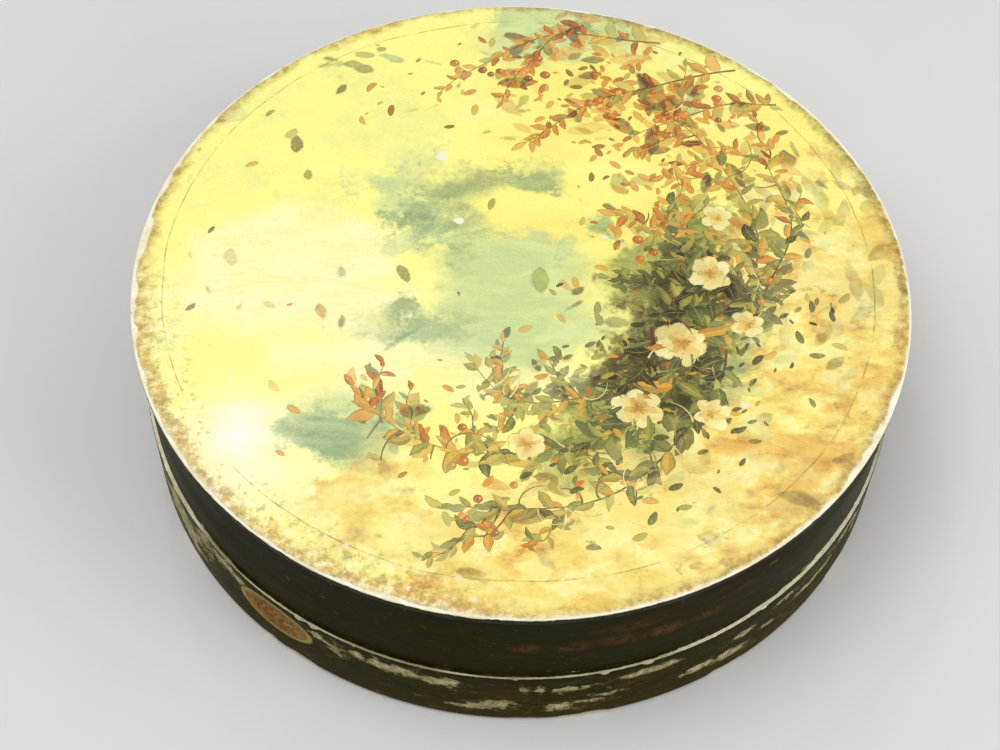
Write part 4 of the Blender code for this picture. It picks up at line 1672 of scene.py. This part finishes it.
def makeGarland():
    # the strokes from the lowest to the highest: stems, leaves, roses, berries, lines, dabs
    facts = garlandFacts
    random = np.random.default_rng(facts["seed"])
    stems, widths, leaves = drawGarland(facts, random)
    finish = strokeFinish("stemPaint", 0.9, (0, linear(72, 56, 34)), (1, linear(128, 84, 44)))
    strokePiece("painted_stems", stems, widths, lift("stems", len(stems), random),
                random.uniform(0, 1, len(stems)), finish)
    makeLeaves(leaves, random)
    hearts = makeRoses(facts, random)
    makeBerries(facts, random)
    makeLines(facts, random)
    makeDabs(facts, hearts, random)


makeGarland()


# Side picture: a small sprig in the oval on the base wall

sprigFacts = {
    "stemHalf": 6.6, "leaves": 15, "leafLength": 2.7, "berries": 7, "berrySize": 0.52, "seed": 9,
    "gloss": 0.03,
}


def onWall(points):
    # flat distances round and up the wall, and proud of it, become places on the base wall
    turn = np.radians(ovalFacts["angle"]) + points[:, 0] / boxRadius
    radius = boxRadius - 0.03 + points[:, 2]
    return np.stack([radius * np.cos(turn), radius * np.sin(turn), ovalFacts["level"] + points[:, 1]], -1)


def makeSprig():
    # one stem along the oval, leaves to both sides of it and a few berries
    facts = sprigFacts
    random = np.random.default_rng(facts["seed"])
    line = np.linspace(0, 1, strokeFacts["lineStations"])

    def along(share):
        # the stem: straight across the oval with a slow wave
        return np.stack([facts["stemHalf"] * (2 * share - 1), 0.55 * np.sin(share * 6.0) - 0.1], -1)

    finish = strokeFinish("sprigStemPaint", 0.95, (0, linear(84, 52, 22)), (1, linear(196, 174, 100)),
                          gloss=facts["gloss"])
    strokePiece("sprig_stem", along(line)[None], (0.24 * (1 - 0.5 * line))[None], np.array([0.03]),
                np.array([0.5]), finish, onWall, "base")
    count = facts["leaves"]
    share = np.linspace(0.06, 1, count)
    heading = np.where(np.arange(count) % 2, 0.85, -0.85) * (share < 0.97) + random.normal(0, 0.15, count)
    length = facts["leafLength"] * (1 - 0.35 * np.abs(2 * share - 1)) * random.uniform(0.85, 1.1, count)
    stations = strokeFacts["leafStations"]
    paths = headingPath(along(share), heading, length, random.uniform(-0.4, 0.4, count), stations)
    finish = strokeFinish("sprigLeafPaint", 0.85, (0, linear(98, 80, 36)), (0.5, linear(164, 146, 76)),
                          (1, linear(146, 76, 30)), gloss=facts["gloss"])
    strokePiece("sprig_leaves", paths, leafWidths(length, stations, np.full(count, 0.22), random),
                np.full(count, 0.04), random.uniform(0, 1, count), finish, onWall, "base")
    count = facts["berries"]
    middle = along(random.uniform(0.2, 0.9, count)) + random.normal(0, 0.95, (count, 2))
    size = facts["berrySize"] * random.uniform(0.8, 1.15, count)
    finish = strokeFinish("sprigBerryPaint", 0.95, (0, linear(142, 56, 26)), (1, linear(176, 96, 38)),
                          gloss=facts["gloss"])
    strokePiece("sprig_berries", *berryShapes(middle, size, 0.02), np.full(count, 0.05),
                random.uniform(0, 1, count), finish, onWall, "base")


makeSprig()


# Neck: the bent wood ring that the lid slides over

neckFacts = {
    "spokes": 720, "topRounding": 0.5, "lapAngle": 92.0, "lapHalf": 5.0, "lapStep": 0.1,
    "light": linear(190, 150, 98), "dark": linear(140, 100, 58), "rubbed": linear(214, 180, 128),
    "soiled": linear(92, 66, 38), "blotch": linear(104, 72, 40),
}


def lapped(points, middle, half, soft):
    # 1 on the band where a strip's ends overlap, 0 elsewhere
    return smooth(angleGap(polar(points)[0], middle), half + soft, half - soft)


def bentPlace(place, radius, seam, along, upward):
    # the place round the ring and up it, scaled, with the join of the angles put at the seam
    x, y, level = apart(stretch(place, (1, 1, 1), math.radians(180 - seam)), 0, 1, 2)
    return joined(calc("ARCTAN2", y, x) * (radius * along), level * upward)


def woodFinish(name, facts, bent=True):
    # wood with its grain along the bend, rubbed pale at the top and soiled low down
    material, place = newFinish(name)
    if bent:
        lines = bentPlace(place, neckOuter, facts["lapAngle"], 0.035, 1.5)
    else:
        lines = stretch(place, (0.05, 1.4, 1.4))
    wood, roughness, height = woodGrain(lines, facts["light"], facts["dark"])
    blotch = speckle(place, 0.16, 6, 0.6)
    uneven = apart(place, 2) + (blotch - 0.5) * 7.0
    tone = layers(wood, (ease(uneven, neckTop - 4.5, neckTop - 0.5, 0, 0.45), facts["rubbed"]),
                  (ease(uneven, ledgeLevel + 3.0, ledgeLevel - 0.5, 0, 0.6), facts["soiled"]),
                  (ease(blotch, 0.58, 0.74, 0, 0.35), facts["blotch"]))
    return fill(material, tone, roughness, height, specular=0.35)


def makeNeck():
    # the bent ring, a little thicker where its ends overlap
    facts = neckFacts
    inner = neckPaperOuter + 0.25
    corners = [(inner, neckTop, 0.4, 0.8), (neckOuter, neckTop, facts["topRounding"], 0.8),
               (neckOuter, floorBoardTop, 0, 1.0), (inner, floorBoardTop, 0, 1.0)]

    def push(points):
        # back from the lap's thickness everywhere else, with soft dents
        lap = lapped(points, facts["lapAngle"], facts["lapHalf"], 0.15)
        return facts["lapStep"] * (lap - 1) - 0.05 * cloud(points, (14, 14, 5), 3, 241)

    turnedRing("neck_ring", corners, facts["spokes"], push, {}, woodFinish("neckWood", facts), "base",
               "bare_wood", ["base_neck"])


makeNeck()
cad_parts["floor_board"].material_slots[0].material = woodFinish("floorBoardWood", neckFacts, bent=False)


# Papers: linings inside the base and the lid, and the paper under the foot

paperFacts = {
    "hubRadius": 6, "discSpokes": 360, "discSpacing": 2.2, "ringSpokes": 720, "ringSpacing": 1.0,
    "cockle": 0.09,  # how far damp has raised the paper in waves
    "edgeWander": 0.3, "seamAngle": 101.0, "seamHalf": 4.5, "seamStep": 0.12,
    "lining": linear(226, 212, 176), "lidLining": linear(222, 208, 170), "foot": linear(142, 108, 68),
    "stained": linear(150, 116, 70), "footRubbed": linear(176, 146, 104),
}


def paperFinish(name, colour, foxing, rubbed=None):
    # old paper, stained towards the corner where it meets the wall, scuffed where it stands
    material, place = newFinish(name)
    tone, roughness, height = oldPaper(place, colour, foxing)
    uneven = span("LENGTH", stretch(place, (1, 1, 0))) + speckle(place, 0.12, 5) * 12.0
    tone = laid(tone, ease(uneven, 70.0, 84.0, 0, 0.45), paperFacts["stained"])
    if rubbed is not None:
        scuff = speckle(stretch(place, (0.05, 0.4, 1), 0.8), 1.0, 6, 0.7)
        tone = laid(tone, ease(scuff, 0.54, 0.70, 0, 0.7), rubbed)
    return fill(material, tone, roughness, height, 0.5, 0.00025, specular=0.2)


def paperDisc(name, radius, low, high, faceUp, seed, *rides):
    # a paper disc whose seen side is cockled; its other side is flat on the board
    facts = paperFacts
    hub, spacing = facts["hubRadius"], facts["discSpacing"]
    corners = [(hub, high, 0, spacing), (radius, high, 0, 0.4), (radius, low, 0, spacing),
               (hub, low, 0, spacing)]
    side = 1 if faceUp else -1

    def push(points):
        # moves the seen side back towards the board in soft waves, and not at the very edge
        onFace = (points[..., 2] - (low + high) / 2) * side > 0
        waves = cloud(points * (1, 1, 0), (26, 26, 9), 3, seed)
        return -facts["cockle"] * waves * onFace * smooth(polar(points)[1], radius, radius - 2)

    turnedDisc(name, corners, facts["discSpokes"], push, *rides)


def paperRing(name, inner, outer, low, high, wanderTop, seed, *rides):
    # a paper strip round a wall: its free edge wanders, and its ends overlap at a seam
    facts = paperFacts
    spacing = facts["ringSpacing"]
    profile = profileThrough([(inner, high, 0, 0.2), (outer, high, 0, spacing), (outer, low, 0, 0.2),
                              (inner, low, 0, spacing)])
    points = turned(profile, facts["ringSpokes"])
    x, y, level = np.moveaxis(points, -1, 0)
    edge, inwards = (high, -1) if wanderTop else (low, 1)
    free = smooth(level, (low + high) / 2, edge)
    shift = facts["edgeWander"] * cloud(points * (1, 1, 0), (12, 12, 9), 4, seed) * free * inwards
    lap = lapped(points, facts["seamAngle"], facts["seamHalf"], 0.12)
    soft = cloud(points, (13, 13, 6), 3, seed + 5)
    radius = np.hypot(x, y)
    back = (radius < (inner + outer) / 2) * (facts["seamStep"] * (1 - lap) + 0.1 * soft)
    scale = (radius + back) / radius
    points = np.stack([x * scale, y * scale, level + shift], -1)
    makePiece(name, points, [gridFaces(len(profile), facts["ringSpokes"], wrapRows=True)], *rides)


def makePapers():
    # three discs and two strips, each on its own board or wall
    facts = paperFacts
    baseFinish = paperFinish("baseLiningPaper", facts["lining"], 0.55)
    lidFinish = paperFinish("lidLiningPaper", facts["lidLining"], 0.45)
    footFinish = paperFinish("footPaper", facts["foot"], 0.3, facts["footRubbed"])
    paperDisc("floor_paper", neckPaperOuter + 0.2, floorBoardTop, floorPaperTop, True, 251, baseFinish,
              "base", "lining_paper", ["floor_lining"])
    paperDisc("lid_paper", lidPaperRadius, lidPaperLow, boardLow - 0.29, False, 257, lidFinish,
              "lid", "lining_paper", ["lid_lining"])
    paperDisc("underfoot_paper", footPaperRadius, footPaperLow + 0.03, floorBoardLow, False, 263,
              footFinish, "base", "foot_paper", ["foot_paper"])
    paperRing("neck_paper", neckPaperOuter - 0.4, neckPaperOuter + 0.3, floorPaperTop - 0.1, neckPaperTop,
              True, 269, baseFinish, "base", "lining_paper", ["neck_lining"])
    paperRing("skirt_paper", skirtPaperOuter - 0.4, skirtPaperOuter + 0.1, skirtPaperLow,
              lidPaperLow + 0.1, False, 271, lidFinish, "lid", "lining_paper", ["skirt_lining"])


makePapers()
